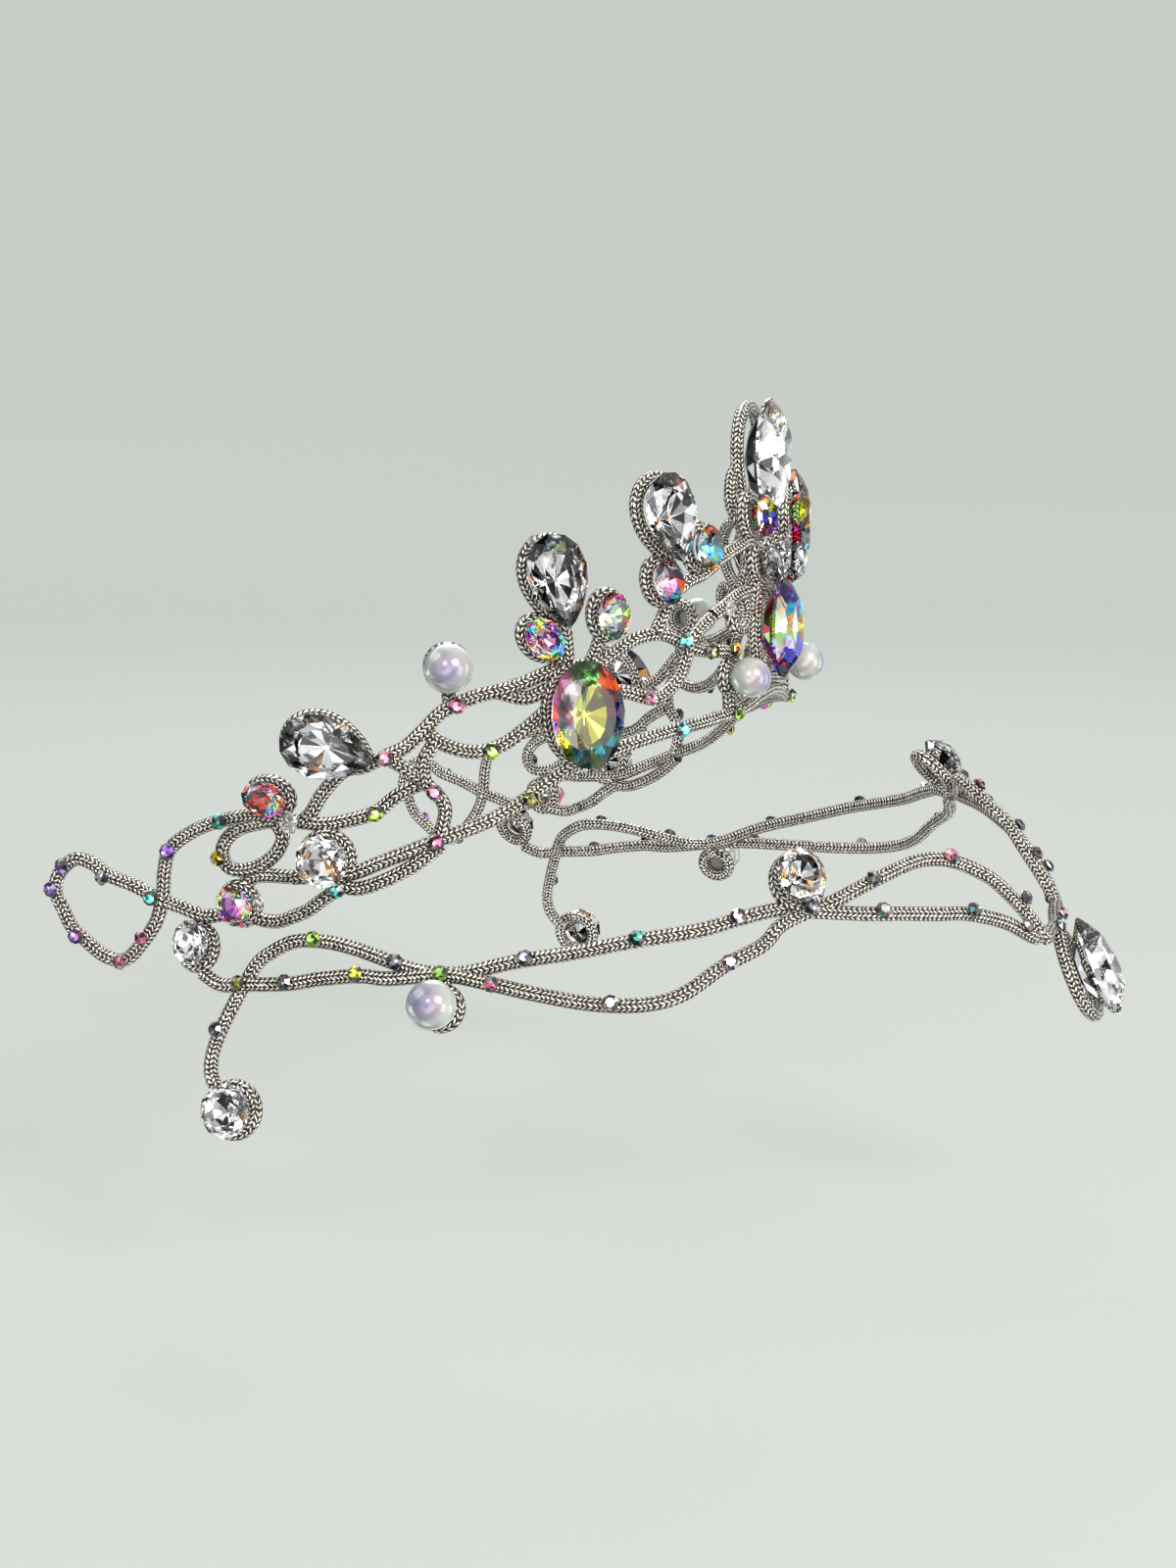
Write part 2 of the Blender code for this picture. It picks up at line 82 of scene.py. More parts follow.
def tiara_setting(along, up, out=0.0):
    """Place and directions on the tiara's bent plan. Positive along is the wearer's right."""
    side = 1.0 if along >= 0.0 else -1.0
    turn = min(abs(along) / WING_RADIUS, LEG_TURN)
    leg = abs(along) - turn * WING_RADIUS
    fore = FRONT_REACH - WING_RADIUS + (WING_RADIUS + out) * cos(turn) - leg * sin(turn)
    wide = (WING_RADIUS + out) * sin(turn) + leg * cos(turn)
    outward = Vector((-side * sin(turn), -cos(turn), 0.0))
    upward = Vector((0.0, 0.0, 1.0))
    return Setting(Vector((-side * wide, -fore, up)), upward.cross(outward), upward, outward)


HEAD_HEIGHT = 95.0
BAND_HALF_LENGTH = 106.0
BAND_HALF_WIDTH = 80.0
BAND_HEIGHT = 98.0
BAND_LEG_REACH = 85.0
BAND_FACE_TILT = 0.85
LEFT_TEMPLE_LIFT = 9.0
LEFT_TEMPLE_ADVANCE = 14.0


def band_setting(around, up, out=0.0):
    """Place and directions on the head form. Positive around is the wearer's right."""
    side = 1.0 if around >= 0.0 else -1.0
    turn = radians(min(abs(around), 90.0))
    leg = radians(abs(around)) - turn
    if side < 0.0:
        up += LEFT_TEMPLE_LIFT * sin(2.0 * turn)
        turn -= radians(LEFT_TEMPLE_ADVANCE) * sin(2.0 * turn) ** 2
    ring = sqrt(1.0 - ((up + HEAD_HEIGHT) / BAND_HEIGHT) ** 2)
    fore = BAND_HALF_LENGTH * ring * cos(turn)
    wide = BAND_HALF_WIDTH * ring * sin(turn)
    outward = Vector((-side * wide / BAND_HALF_WIDTH ** 2, -fore / BAND_HALF_LENGTH ** 2,
                      BAND_FACE_TILT * (up + HEAD_HEIGHT) / BAND_HEIGHT ** 2)).normalized()
    point = Vector((-side * wide, -fore + leg * BAND_LEG_REACH, up)) + outward * out
    upward = (Vector((0.0, 0.0, 1.0)) - outward * outward.z).normalized()
    return Setting(point, upward.cross(outward), upward, outward)


print("front of the tiara, mm:", tuple(round(value, 1) for value in tiara_setting(0.0, 0.0).point))
print("front of the band, mm:", tuple(round(value, 1) for value in band_setting(0.0, -42.0).point))

# %% [markdown]
# ## The list of stones
#
# Every stone is one row: its cut, its size in millimetres, its place on the drawing, how far it leans
# and how it looks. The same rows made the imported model, so the new stones land where the old ones were.

# %% List the stones
Stone = namedtuple("Stone", "name cut width length thick along up out lean face look")
MIDDLE_STONES = (
    # name, cut, width, length, thick, along, up, out, lean, face, look
    Stone("top_pear", "pear", 15.5, 22.0, 5.4, 0.0, 36.9, -4.6, 0.0, 0.0, "clear"),
    Stone("fan_pear_middle", "pear", 4.0, 6.0, 2.6, 0.0, 19.8, -0.8, 0.0, 0.0, "clear"),
    Stone("centre_oval", "oval", 13.0, 18.0, 5.0, 0.0, 7.4, -1.4, 0.0, 0.0, "rainbow"),
)
SIDE_STONES = (
    # name, cut, width, length, thick, along, up, out, lean, face, look
    Stone("top_side_oval", "oval", 6.0, 8.0, 3.2, 11.0, 27.6, 0.0, 25.0, 0.0, "rainbow"),
    Stone("fan_pear", "pear", 5.0, 8.0, 3.0, 7.4, 18.8, 0.0, 35.0, 0.0, "clear"),
    Stone("centre_pearl", "pearl", 7.0, 7.0, 7.0, 16.4, 0.0, -0.4, 0.0, 0.0, "pearl"),
    Stone("front_pear", "pear", 10.5, 15.5, 4.4, 35.5, 27.7, 0.0, 19.0, 0.0, "clear"),
    Stone("front_oval_low", "oval", 6.0, 8.0, 3.2, 35.7, 17.2, 0.0, 20.0, 0.0, "rainbow"),
    Stone("front_oval_side", "oval", 6.0, 8.0, 3.2, 26.9, 22.6, 0.0, 8.0, 0.0, "rainbow"),
    Stone("middle_pear", "pear", 10.5, 15.5, 4.4, 55.9, 17.9, 0.0, 14.0, 0.0, "clear"),
    Stone("middle_oval_back", "oval", 6.0, 8.0, 3.2, 58.0, 8.6, 0.0, 45.0, 0.0, "rainbow"),
    Stone("middle_oval_front", "oval", 6.0, 8.0, 3.2, 46.2, 12.0, 0.0, 5.0, 0.0, "rainbow"),
    Stone("large_oval", "oval", 13.0, 18.0, 5.0, 51.2, -3.9, 0.0, 4.0, 0.0, "rainbow"),
    Stone("wing_pearl", "pearl", 8.0, 8.0, 8.0, 73.2, 4.3, 0.0, 0.0, 0.0, "pearl"),
    Stone("lying_pear", "pear", 10.5, 15.5, 4.4, 92.3, -8.6, 2.2, 72.0, 15.0, "clear"),
    Stone("tail_oval", "oval", 6.0, 8.0, 3.2, 103.0, -17.6, 0.0, 78.0, 0.0, "rainbow"),
    Stone("tail_round", "oval", 9.0, 9.0, 3.8, 93.2, -27.4, 0.0, 0.0, 0.0, "clear"),
    Stone("tail_end_oval", "oval", 6.0, 7.0, 3.2, 108.8, -35.7, 0.0, 30.0, 0.0, "rainbow"),
)
BAND_STONES = (
    # name, cut, width, length, thick, around, up, out, lean, face, look
    Stone("temple_round", "oval", 8.0, 9.5, 3.8, 48.9, -30.0, 0.0, 0.0, 0.0, "clear"),
    Stone("band_pearl", "pearl", 8.0, 8.0, 8.0, 89.2, -49.3, 0.0, 0.0, 0.0, "pearl"),
    Stone("tip_oval", "oval", 6.5, 8.0, 3.2, 120.0, -43.25, 0.0, 25.0, 0.0, "clear"),
    Stone("tip_round", "oval", 9.0, 9.0, 3.8, 112.4, -67.8, 0.0, 0.0, 0.0, "clear"),
)
BAND_DROP = Stone("band_drop", "pear", 13.0, 18.0, 5.0, 0.0, -49.4, -4.2, 180.0, 0.0, "clear")
SIDE_NAMES = {1: "right_", -1: "left_"}


def stone_setting(stone, setting_of, side):
    """Where a stone's loop sits, turned so that the stone faces further forward."""
    flat = setting_of(side * stone.along, stone.up, stone.out)
    turn = Matrix.Rotation(radians(side * stone.face), 3, flat.upward)
    return Setting(flat.point, turn @ flat.across, flat.upward, turn @ flat.outward)


def piece_name(stone, side):
    """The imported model's name for a stone on one side."""
    return stone.name if stone.along == 0.0 else SIDE_NAMES[side] + stone.name


PLACED_STONES = [(stone, tiara_setting, 1) for stone in MIDDLE_STONES] + [(BAND_DROP, band_setting, 1)]
for which in (1, -1):
    PLACED_STONES += [(stone, tiara_setting, which) for stone in SIDE_STONES]
    PLACED_STONES += [(stone, band_setting, which) for stone in BAND_STONES]
print("stones and pearls:", len(PLACED_STONES))

# %% [markdown]
# ## Shader expressions
#
# A finish is arithmetic on patterns. Blender can draw it as boxes and wires, but a long chain is easier
# to read as a formula. A small class wraps a socket, so that an expression on it adds its Math nodes.
# Another method adds any other node from its type, its settings and its inputs.

# %% Make a class for shader maths
class Wire:
    """An output in a node tree, on which arithmetic adds Math nodes."""

    def __init__(self, recipe, socket):
        self.recipe = recipe
        self.socket = socket

    def math(self, operation, *others):
        """A Math node of the given operation on this output and others."""
        inputs = {number: value for number, value in enumerate((self, *others))}
        return self.recipe.node("Math", {"operation": operation}, inputs)

    def __add__(self, other):
        return self.math("ADD", other)

    def __sub__(self, other):
        return self.math("SUBTRACT", other)

    def __rsub__(self, other):
        return self.math("MULTIPLY", -1.0) + other

    def __mul__(self, other):
        return self.math("MULTIPLY", other)

    __radd__ = __add__
    __rmul__ = __mul__


class Recipe:
    """A node tree that expressions can be plugged into."""

    def __init__(self, tree):
        self.tree = tree

    def plug(self, socket, value):
        """Give a socket a value, a colour or a link."""
        if isinstance(value, Wire):
            self.tree.links.new(value.socket, socket)
        else:
            socket.default_value = value

    def node(self, kind, settings=None, inputs=None, output=0):
        """Add a node: its settings come first, then the values or links of its inputs."""
        node = self.tree.nodes.new("ShaderNode" + kind)
        for name, value in (settings or {}).items():
            if name == "stops":
                while len(node.color_ramp.elements) < len(value):
                    node.color_ramp.elements.new(0.5)
                for stop, (place, light) in zip(node.color_ramp.elements, value):
                    stop.position = place
                    stop.color = (light, light, light, 1.0)
            else:
                setattr(node, name, value)
        for name, value in (inputs or {}).items():
            self.plug(node.inputs[name], value)
        return Wire(self, node.outputs[output])

    def parts(self, vector):
        """The three parts of a vector, each as an output."""
        first = self.node("SeparateXYZ", inputs={0: vector})
        return [Wire(self, socket) for socket in first.socket.node.outputs]

    def mix(self, share, first, second):
        """A colour between two colours."""
        settings = {"data_type": "RGBA", "clamp_factor": True}
        return self.node("Mix", settings, {0: share, 6: first, 7: second}, output=2)


class Finish(Recipe):
    """A Principled material."""

    def __init__(self, name):
        self.material = bpy.data.materials.new(name)
        self.material.use_nodes = True
        super().__init__(self.material.node_tree)
        self.shader = self.tree.nodes["Principled BSDF"]

    def dress(self, **sockets):
        """Set the Principled shader's inputs. An underscore in a name stands for a space."""
        for name, value in sockets.items():
            self.plug(self.shader.inputs[name.replace("_", " ")], value)
        return self


print("shader helpers ready")

# %% [markdown]
# ## The braid on the cord
#
# The cord is wire under a sleeve of fine metallic braid, 2.4 mm across. Its threads run in rows along
# the cord, slanted one way in one row and the other way in the next, like an ear of wheat. Modelling
# each thread would take millions of faces. Each cord instead carries a map in millimetres along it and
# turns around it. From that map the finish raises the threads by a bump and paints shade into the grooves.

# %% Weave the braid finish
THREAD_PITCH_MM = 0.85
BRAID_ROWS = 10.0
SLANT = 0.75
STRAY_SHARE = 0.9
THREAD_HEIGHT = 0.00026
# The grooves between the threads get a near-black colour: painted shade.
PAINTED_GROOVE_SHADE = (0.050, 0.040, 0.024, 1.0)
BRIGHT_THREAD = (1.0, 0.97, 0.89, 1.0)
braid = Finish("metallic_braid")
along, around, unused_part = braid.parts(braid.node("UVMap", {"uv_map": "UVMap"}))
row = (around * BRAID_ROWS).math("PINGPONG", 1.0)
places = braid.node("TexCoord", output=3)
stray = braid.node("TexNoise", inputs={"Vector": places, "Scale": 500.0, "Detail": 1.0})
turn = (along * (1.0 / THREAD_PITCH_MM) + row * SLANT + stray * STRAY_SHARE) * (2.0 * pi)
thread = turn.math("SINE") * 0.5 + 0.5
seam = (around * (BRAID_ROWS * pi)).math("SINE").math("ABSOLUTE")
relief = thread.math("POWER", 0.8) * seam.math("POWER", 0.7)
wear = braid.node("TexNoise", inputs={"Vector": places, "Scale": 1300.0, "Detail": 2.0})
# Where the relief is low, in the grooves, the colour goes dark: painted shade.
bright = relief * 2.0 + wear * 2.2 - 1.6
colour = braid.mix(bright, PAINTED_GROOVE_SHADE, BRIGHT_THREAD)
raised = braid.node("Bump", inputs={"Strength": 1.0, "Distance": THREAD_HEIGHT, "Height": relief})
braid.dress(Base_Color=colour, Metallic=0.9, Roughness=0.30, Normal=raised)
print("braid:", len(braid.tree.nodes), "nodes")

# %% [markdown]
# ## The cord itself
#
# Each cord follows listed points on the drawing. A smooth line is drawn through them and walked in
# equal steps of half a millimetre, so that the braid keeps one size all the way. A bevelled curve turns
# that line into a tube, and its map is then scaled from shares of its length to millimetres.

# %% Draw a smooth cord through a few points
CORD_RADIUS = 1.2
CORD_STEP = 0.5
CORD_SIDES_PAST_FOUR = 3
LAYER_STEP = 0.23
LAYERS = 4
SHARES_PER_STRETCH = 12
SMALLEST_LENGTH = 1e-9


def smooth_line(points, closed):
    """A Catmull-Rom line through the points, walked in equal steps."""
    count = len(points)
    last = count if closed else count - 1
    line = []
    for index in range(last):
        if closed:
            before, start, end, after = (points[(index + shift) % count] for shift in (-1, 0, 1, 2))
        else:
            start, end = points[index], points[index + 1]
            before = points[index - 1] if index > 0 else start * 2.0 - end
            after = points[index + 2] if index + 2 < count else end * 2.0 - start
        for step in range(SHARES_PER_STRETCH):
            share = step / SHARES_PER_STRETCH
            pull = (end - before) * 0.5
            push = (after - start) * 0.5
            blend = share * share * (3.0 - 2.0 * share)
            bend = pull * (share * (1.0 - share) ** 2) - push * (share ** 2 * (1.0 - share))
            line.append(start.lerp(end, blend) + bend)
    line.append(points[0] if closed else points[-1])
    lengths = [(line[i + 1] - line[i]).length for i in range(len(line) - 1)]
    total = sum(lengths)
    steps = max(3, round(total / CORD_STEP))
    walked, index, passed = [], 0, 0.0
    for number in range(steps + 1):
        goal = total * number / steps
        while index < len(lengths) - 1 and passed + lengths[index] < goal:
            passed += lengths[index]
            index += 1
        share = (goal - passed) / max(lengths[index], SMALLEST_LENGTH)
        walked.append(line[index].lerp(line[index + 1], min(share, 1.0)))
    return (walked[:-1] if closed else walked), total


def cord_tube(points, closed, radius=CORD_RADIUS):
    """A round cord along the points, as a mesh object, and its length in millimetres."""
    walked, total = smooth_line(points, closed)
    curve = bpy.data.curves.new("cord", "CURVE")
    curve.dimensions = "3D"
    curve.bevel_depth = radius * MM
    curve.bevel_resolution = CORD_SIDES_PAST_FOUR
    curve.use_fill_caps = not closed
    spline = curve.splines.new("POLY")
    spline.points.add(len(walked) - 1)
    for knot, point in zip(spline.points, walked):
        knot.co = (*(point * MM), 1.0)
    spline.use_cyclic_u = closed
    cord = bpy.data.objects.new("cord", curve)
    bpy.context.collection.objects.link(cord)
    bpy.ops.object.select_all(action="DESELECT")
    cord.select_set(True)
    bpy.context.view_layer.objects.active = cord
    bpy.ops.object.convert(target="MESH")
    return bpy.context.object, total


trial, trial_length = cord_tube([Vector((0, 0, 0)), Vector((10, 0, 0)), Vector((20, 5, 0))], False)
print("trial cord:", round(trial_length, 1), "mm", len(trial.data.polygons), "faces")
bpy.data.objects.remove(trial, do_unlink=True)

# %% [markdown]
# ## Where the cords run
#
# Each row is one cord, drawn for the wearer's right and repeated on the left. A third value in a place
# stands the cord out from the plan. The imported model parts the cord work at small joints, and here the
# cords run on through them.

# %% List the routes of the cords
CENTRE_END = WING_START = 21.8
WING_END = TAIL_START = 99.4
BAND_FRONT_END = BAND_SIDE_START = 7.8
CENTRE_CROSSING = (
    ((-CENTRE_END, -6.9), (-16.4, -6.4), (-12.0, -5.8), (-6.0, -4.4), (0.0, -3.8),
     (6.0, -4.4), (12.0, -5.8), (16.4, -6.4), (CENTRE_END, -6.9)),
    ((-14.2, -2.0), (-10.6, -2.8), (-7.0, -2.5), (-3.0, -2.1, -0.8), (0.0, -1.9, -1.0),
     (3.0, -2.1, -0.8), (7.0, -2.5), (10.6, -2.8), (14.2, -2.0)),
    ((0.0, 14.6, -1.4), (0.0, 18.0, -1.4), (0.0, 20.8, -4.0), (0.0, 24.6, -4.9)),
)
CENTRE_STRANDS = (
    ((5.4, 9.0, -1.6), (7.2, 14.0, -0.6), (8.0, 19.0), (9.4, 24.0, -1.0), (9.0, 29.0, -4.0),
     (7.6, 33.4, -4.8), (6.3, 35.6, -4.5)),
    ((8.6, 22.0), (11.0, 23.0), (15.0, 22.0), (CENTRE_END, 19.7)),
    ((7.2, 13.8, -0.9), (10.6, 14.2), (14.4, 13.6), (18.4, 12.0), (CENTRE_END, 10.7)),
    ((11.4, 14.0), (9.9, 10.8), (11.6, 8.0), (14.4, 8.2), (15.2, 10.2), (13.4, 11.0)),
    ((16.0, 3.0), (18.4, 4.4), (CENTRE_END, 4.7)),
    ((16.8, -2.8), (16.4, -6.4)),
)
WING_STRANDS = (
    # the spray rail under the two front ovals
    ((WING_START, 19.5), (25.2, 17.9), (29.0, 16.8), (32.8, 14.0), (34.6, 11.0), (36.2, 8.4)),
    # the tip of the front pear
    ((33.6, 21.6), (32.4, 19.0), (31.4, 15.6)),
    # the upper rail
    ((WING_START, 4.7), (24.6, 5.0), (28.2, 6.0), (34.0, 8.2), (39.8, 7.8), (44.6, 5.4), (48.2, 3.4)),
    # the strand that feeds the large oval
    ((WING_START, 10.5), (24.6, 8.8), (26.8, 6.8), (28.6, 3.4), (30.4, 0.3), (34.8, -2.4),
     (38.4, -2.0), (42.5, -0.9), (46.4, -1.4)),
    # the lower rail
    ((WING_START, -6.95), (25.2, -7.3), (31.0, -7.9), (37.0, -8.8), (42.5, -10.0), (48.0, -11.6),
     (53.2, -13.2), (60.0, -17.6), (66.6, -21.2), (75.2, -24.3), (83.4, -27.5), (90.0, -30.0),
     (WING_END, -30.9)),
    # the middle pear and its two ovals
    ((54.3, 12.2), (53.4, 9.0), (53.0, 5.0)),
    ((57.0, 6.6), (55.4, 5.4), (53.4, 4.2)),
    ((46.6, 9.0), (47.6, 6.0), (49.2, 3.4)),
    # the two strands from the pearl to the large oval
    ((55.4, 3.4), (57.9, 2.4), (63.2, 0.5), (68.8, -0.8), (73.8, -3.0), (77.0, -6.0), (80.0, -8.8),
     (83.6, -10.5)),
    ((56.4, 0.2), (60.4, -1.2), (64.8, -0.2)),
    # the curve below the pearl
    ((56.6, -3.4), (60.0, -6.1), (64.4, -8.9), (69.0, -9.8), (73.7, -8.6), (77.2, -6.2)),
    ((73.2, 1.2), (72.8, -2.4)),
    ((75.2, -7.8), (77.2, -11.4), (76.9, -15.4)),
    # from the joint beside the lying pear down to the lower rail
    ((83.6, -10.5), (80.6, -12.2), (76.9, -14.8), (73.9, -18.4), (74.2, -22.0), (75.2, -24.3)),
    ((83.6, -10.5), (87.0, -12.2), (90.4, -13.0), (94.0, -16.6), (96.2, -20.0), (98.0, -21.7)),
    ((77.0, -14.6), (81.7, -17.0), (85.2, -19.7), (90.4, -21.3), (94.2, -21.9), (WING_END, -21.6)),
    # the second lower rail
    ((74.4, -25.0), (78.4, -28.0), (83.4, -30.7), (88.4, -32.3), (92.4, -31.4)),
    ((90.4, -31.9), (93.8, -34.0), (96.8, -36.2), (WING_END, -37.4)),
)
TAIL_STRANDS = (
    # the long looped tail
    ((TAIL_START, -21.6), (102.3, -21.1), (106.1, -20.9), (111.8, -21.9), (117.3, -24.0),
     (121.6, -27.2), (122.8, -31.0), (123.2, -35.0), (124.4, -39.4), (127.0, -43.2), (130.5, -46.6),
     (134.4, -46.2), (137.8, -43.8), (140.4, -41.6), (142.0, -38.6), (143.4, -35.6), (142.4, -32.2),
     (139.4, -29.8), (136.2, -30.4), (133.4, -32.2), (128.4, -33.8), (124.2, -35.6), (120.0, -36.9),
     (115.3, -38.2), (111.4, -37.6)),
    # the small loop
    ((102.0, -21.4), (108.4, -23.0), (111.4, -25.2), (112.2, -27.8), (110.8, -29.9), (107.6, -30.0),
     (104.3, -28.6), (102.0, -26.4), (101.2, -24.0), (102.6, -21.6)),
    # the end of the lower rail
    ((TAIL_START, -30.9), (105.5, -31.0), (108.6, -32.6)),
    ((TAIL_START, -37.4), (102.4, -38.5), (105.8, -38.4), (107.6, -37.6)),
)
BAND_FRONT_CROSSING = (
    ((-BAND_FRONT_END, -42.0, -2.4), (-4.0, -41.4, -2.8), (0.0, -41.2, -2.9), (4.0, -41.4, -2.8),
     (BAND_FRONT_END, -42.0, -2.4)),
    ((0.0, -41.0, -3.1), (0.0, -43.4, -4.0)),
)
BAND_STRANDS = (
    # the front arch and the strand under it
    ((BAND_SIDE_START, -42.05, -2.3), (10.0, -41.8, -2.0), (11.2, -38.6, -1.4),
     (13.4, -35.2, -0.8), (16.4, -32.2), (20.4, -29.5), (24.4, -28.3), (29.2, -28.2), (35.6, -29.6),
     (40.4, -31.1), (44.8, -32.8), (48.4, -34.0)),
    ((10.0, -41.8, -2.2), (13.6, -41.2, -1.4), (18.8, -38.4, -0.6), (25.6, -36.4), (30.8, -35.8),
     (36.0, -35.2), (41.2, -34.8), (48.4, -34.0)),
    # the tie up to the temple stone
    ((48.4, -34.2), (48.7, -33.2), (48.9, -31.6)),
    # the two strands over the temple
    ((48.4, -34.0), (52.0, -33.4), (57.2, -34.6), (62.0, -36.2), (70.0, -38.0), (76.0, -39.8),
     (82.4, -41.6), (88.0, -43.8), (92.8, -44.0), (98.0, -42.4), (101.2, -41.4), (104.8, -40.8),
     (108.6, -41.2), (111.6, -43.6), (112.8, -45.6), (113.6, -48.4)),
    ((48.4, -34.0), (52.6, -35.9), (55.4, -38.7), (60.0, -41.5), (64.8, -45.6), (68.8, -47.2),
     (74.0, -47.3), (80.0, -46.2), (85.2, -45.0), (89.6, -44.4), (96.0, -45.6), (99.6, -45.6),
     (104.4, -46.6), (108.0, -47.7), (113.6, -48.4)),
    # the tie down to the pearl
    ((89.6, -44.6), (89.3, -46.9)),
    # the tips
    ((113.2, -48.2), (116.4, -48.7), (119.0, -47.2)),
    ((113.6, -48.2), (115.2, -54.0), (116.2, -59.2), (116.0, -63.0), (114.4, -66.0)),
)


def wrapped(routes, setting_of, side):
    """Points of open cords, wrapped to the head and layered behind the stones' loops."""
    paths = []
    for number, route in enumerate(routes):
        layer = -LAYER_STEP * (1 + number % LAYERS)
        path = []
        for place in route:
            out = layer + (place[2] if len(place) > 2 else 0.0)
            path.append(setting_of(side * place[0], place[1], out).point)
        paths.append(path)
    return paths


print("cords drawn:", len(CENTRE_STRANDS) + len(WING_STRANDS) + len(TAIL_STRANDS) + len(BAND_STRANDS))

# %% [markdown]
# ## A loop behind every stone
#
# The maker bends a closed loop of cord a little smaller than the stone and glues the stone on it. So the
# loop follows the stone's own outline: an ellipse, or an ellipse drawn in at one end for a pear.

# %% Outline a stone and its loop
LOOP_SHARE = 0.86
PEARL_LOOP_SHARE = 0.8
PEARL_CORD_SHARE = 0.7
SEAT_GAP = 0.3
PEAR_FULLNESS = 1.16
PEAR_TAPER = 0.55
LOOP_CORNERS = 16


def pear_share(stone, angle):
    """How wide the stone is at an angle from its round end, as a share of its ellipse."""
    return PEAR_FULLNESS * abs(cos(0.5 * angle)) ** PEAR_TAPER if stone.cut == "pear" else 1.0


def stone_loop(stone, setting_of, side):
    """Points of the closed cord loop that carries a stone."""
    setting = stone_setting(stone, setting_of, side)
    share = PEARL_CORD_SHARE if stone.cut == "pearl" else LOOP_SHARE
    lean = radians(stone.lean)
    points = []
    for index in range(LOOP_CORNERS):
        angle = 2.0 * pi * index / LOOP_CORNERS
        x = -0.5 * stone.width * sin(angle) * pear_share(stone, angle) * share
        y = 0.5 * stone.length * cos(angle) * share
        across = (x * cos(lean) - y * sin(lean)) * side
        points.append(setting.point + setting.across * across
                      + setting.upward * (x * sin(lean) + y * cos(lean)))
    return points


# %% [markdown]
# ## Eight braided frames
#
# On the real thing the cords of a frame are bound and glued where they meet, so each frame is joined
# into one piece. The places that its cords pass are kept, because the tiny stones are seated on them.

# %% Make the braided frames
def dressed(piece, finishes):
    """Give a piece its finishes and let it ride on the one body."""
    for finish in finishes:
        piece.data.materials.append(finish.material)
    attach(piece, "root")


cord_places = []


def joined(parts, name):
    """Join objects into one piece with a name."""
    bpy.ops.object.select_all(action="DESELECT")
    for part in parts:
        part.select_set(True)
    bpy.context.view_layer.objects.active = parts[0]
    bpy.ops.object.join()
    piece = bpy.context.object
    piece.name = piece.data.name = name
    return piece


def braided_frame(name, node, paths, loops):
    """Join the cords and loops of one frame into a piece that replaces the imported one."""
    cords = []
    whole_length = 0.0
    for path in paths:
        cord_places.extend(smooth_line(path, False)[0])
    for points, closed in [(path, False) for path in paths] + [(loop, True) for loop in loops]:
        cord, length = cord_tube(points, closed)
        whole_length += length
        for corner in cord.data.uv_layers[0].data:
            corner.uv.x *= length
        cords.append(cord)
    piece = joined(cords, name)
    bpy.ops.object.shade_smooth()
    dressed(piece, [braid])
    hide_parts(node)
    print(name, len(cords), "cords,", round(whole_length), "mm in all,", len(piece.data.polygons), "faces")


def carried(stones, setting_of, side, low=0.0, high=200.0):
    """Loops of the stones whose place lies between two limits along the drawing."""
    return [stone_loop(stone, setting_of, side) for stone in stones if low <= stone.along < high]


centre_paths = wrapped(CENTRE_CROSSING, tiara_setting, 1)
centre_loops = carried(MIDDLE_STONES, tiara_setting, 1)
for which in (1, -1):
    centre_paths += wrapped(CENTRE_STRANDS, tiara_setting, which)
    centre_loops += carried(SIDE_STONES, tiara_setting, which, 0.0, CENTRE_END)
braided_frame("braided_centre", "centre_frame", centre_paths, centre_loops)
braided_frame("braided_band_front", "band_front_frame", wrapped(BAND_FRONT_CROSSING, band_setting, 1),
              [stone_loop(BAND_DROP, band_setting, 1)])
for which in (1, -1):
    head = SIDE_NAMES[which]
    braided_frame(head + "braided_wing", head + "wing_frame", wrapped(WING_STRANDS, tiara_setting, which),
                  carried(SIDE_STONES, tiara_setting, which, CENTRE_END, WING_END))
    braided_frame(head + "braided_tail", head + "tail_frame", wrapped(TAIL_STRANDS, tiara_setting, which),
                  carried(SIDE_STONES, tiara_setting, which, WING_END))
    braided_frame(head + "braided_band", head + "band_frame", wrapped(BAND_STRANDS, band_setting, which),
                  carried(BAND_STONES, band_setting, which))

# %% [markdown]
# ## Cutting a stone
#
# A foiled stone has a flat table, sloping crown facets, a thin girdle and a pointed back with a mirror
# foil. What sparkles is the foil seen through the crown, so the back needs real facets too. A round
# stone of unit size is cut once from rings of corners, every second ring turned by half a step, which
# are bridged into triangles. It is then pulled to each stone's own outline.

# %% Cut a round stone of unit size
CUT_RINGS = (
    # The first ring lies at height 0, where the new object's own origin is.
    # share of radius, height as a share of the stone's thickness, half step
    (1.00, 0.00, False),
    (0.06, -0.80, False),
    (0.56, -0.50, True),
    (1.00, 0.09, False),
    (0.83, 0.32, True),
    (0.58, 0.58, False),
)
LEVEL_TOLERANCE = 1e-5


def select_faces(stone, is_wanted):
    """Select the faces that are wanted and no others, and leave the stone in edit mode."""
    bpy.ops.object.mode_set(mode="EDIT")
    bpy.ops.mesh.select_mode(type="FACE")
    bpy.ops.mesh.select_all(action="DESELECT")
    bpy.ops.object.mode_set(mode="OBJECT")
    for face in stone.data.polygons:
        face.select = is_wanted(face)
    bpy.ops.object.mode_set(mode="EDIT")


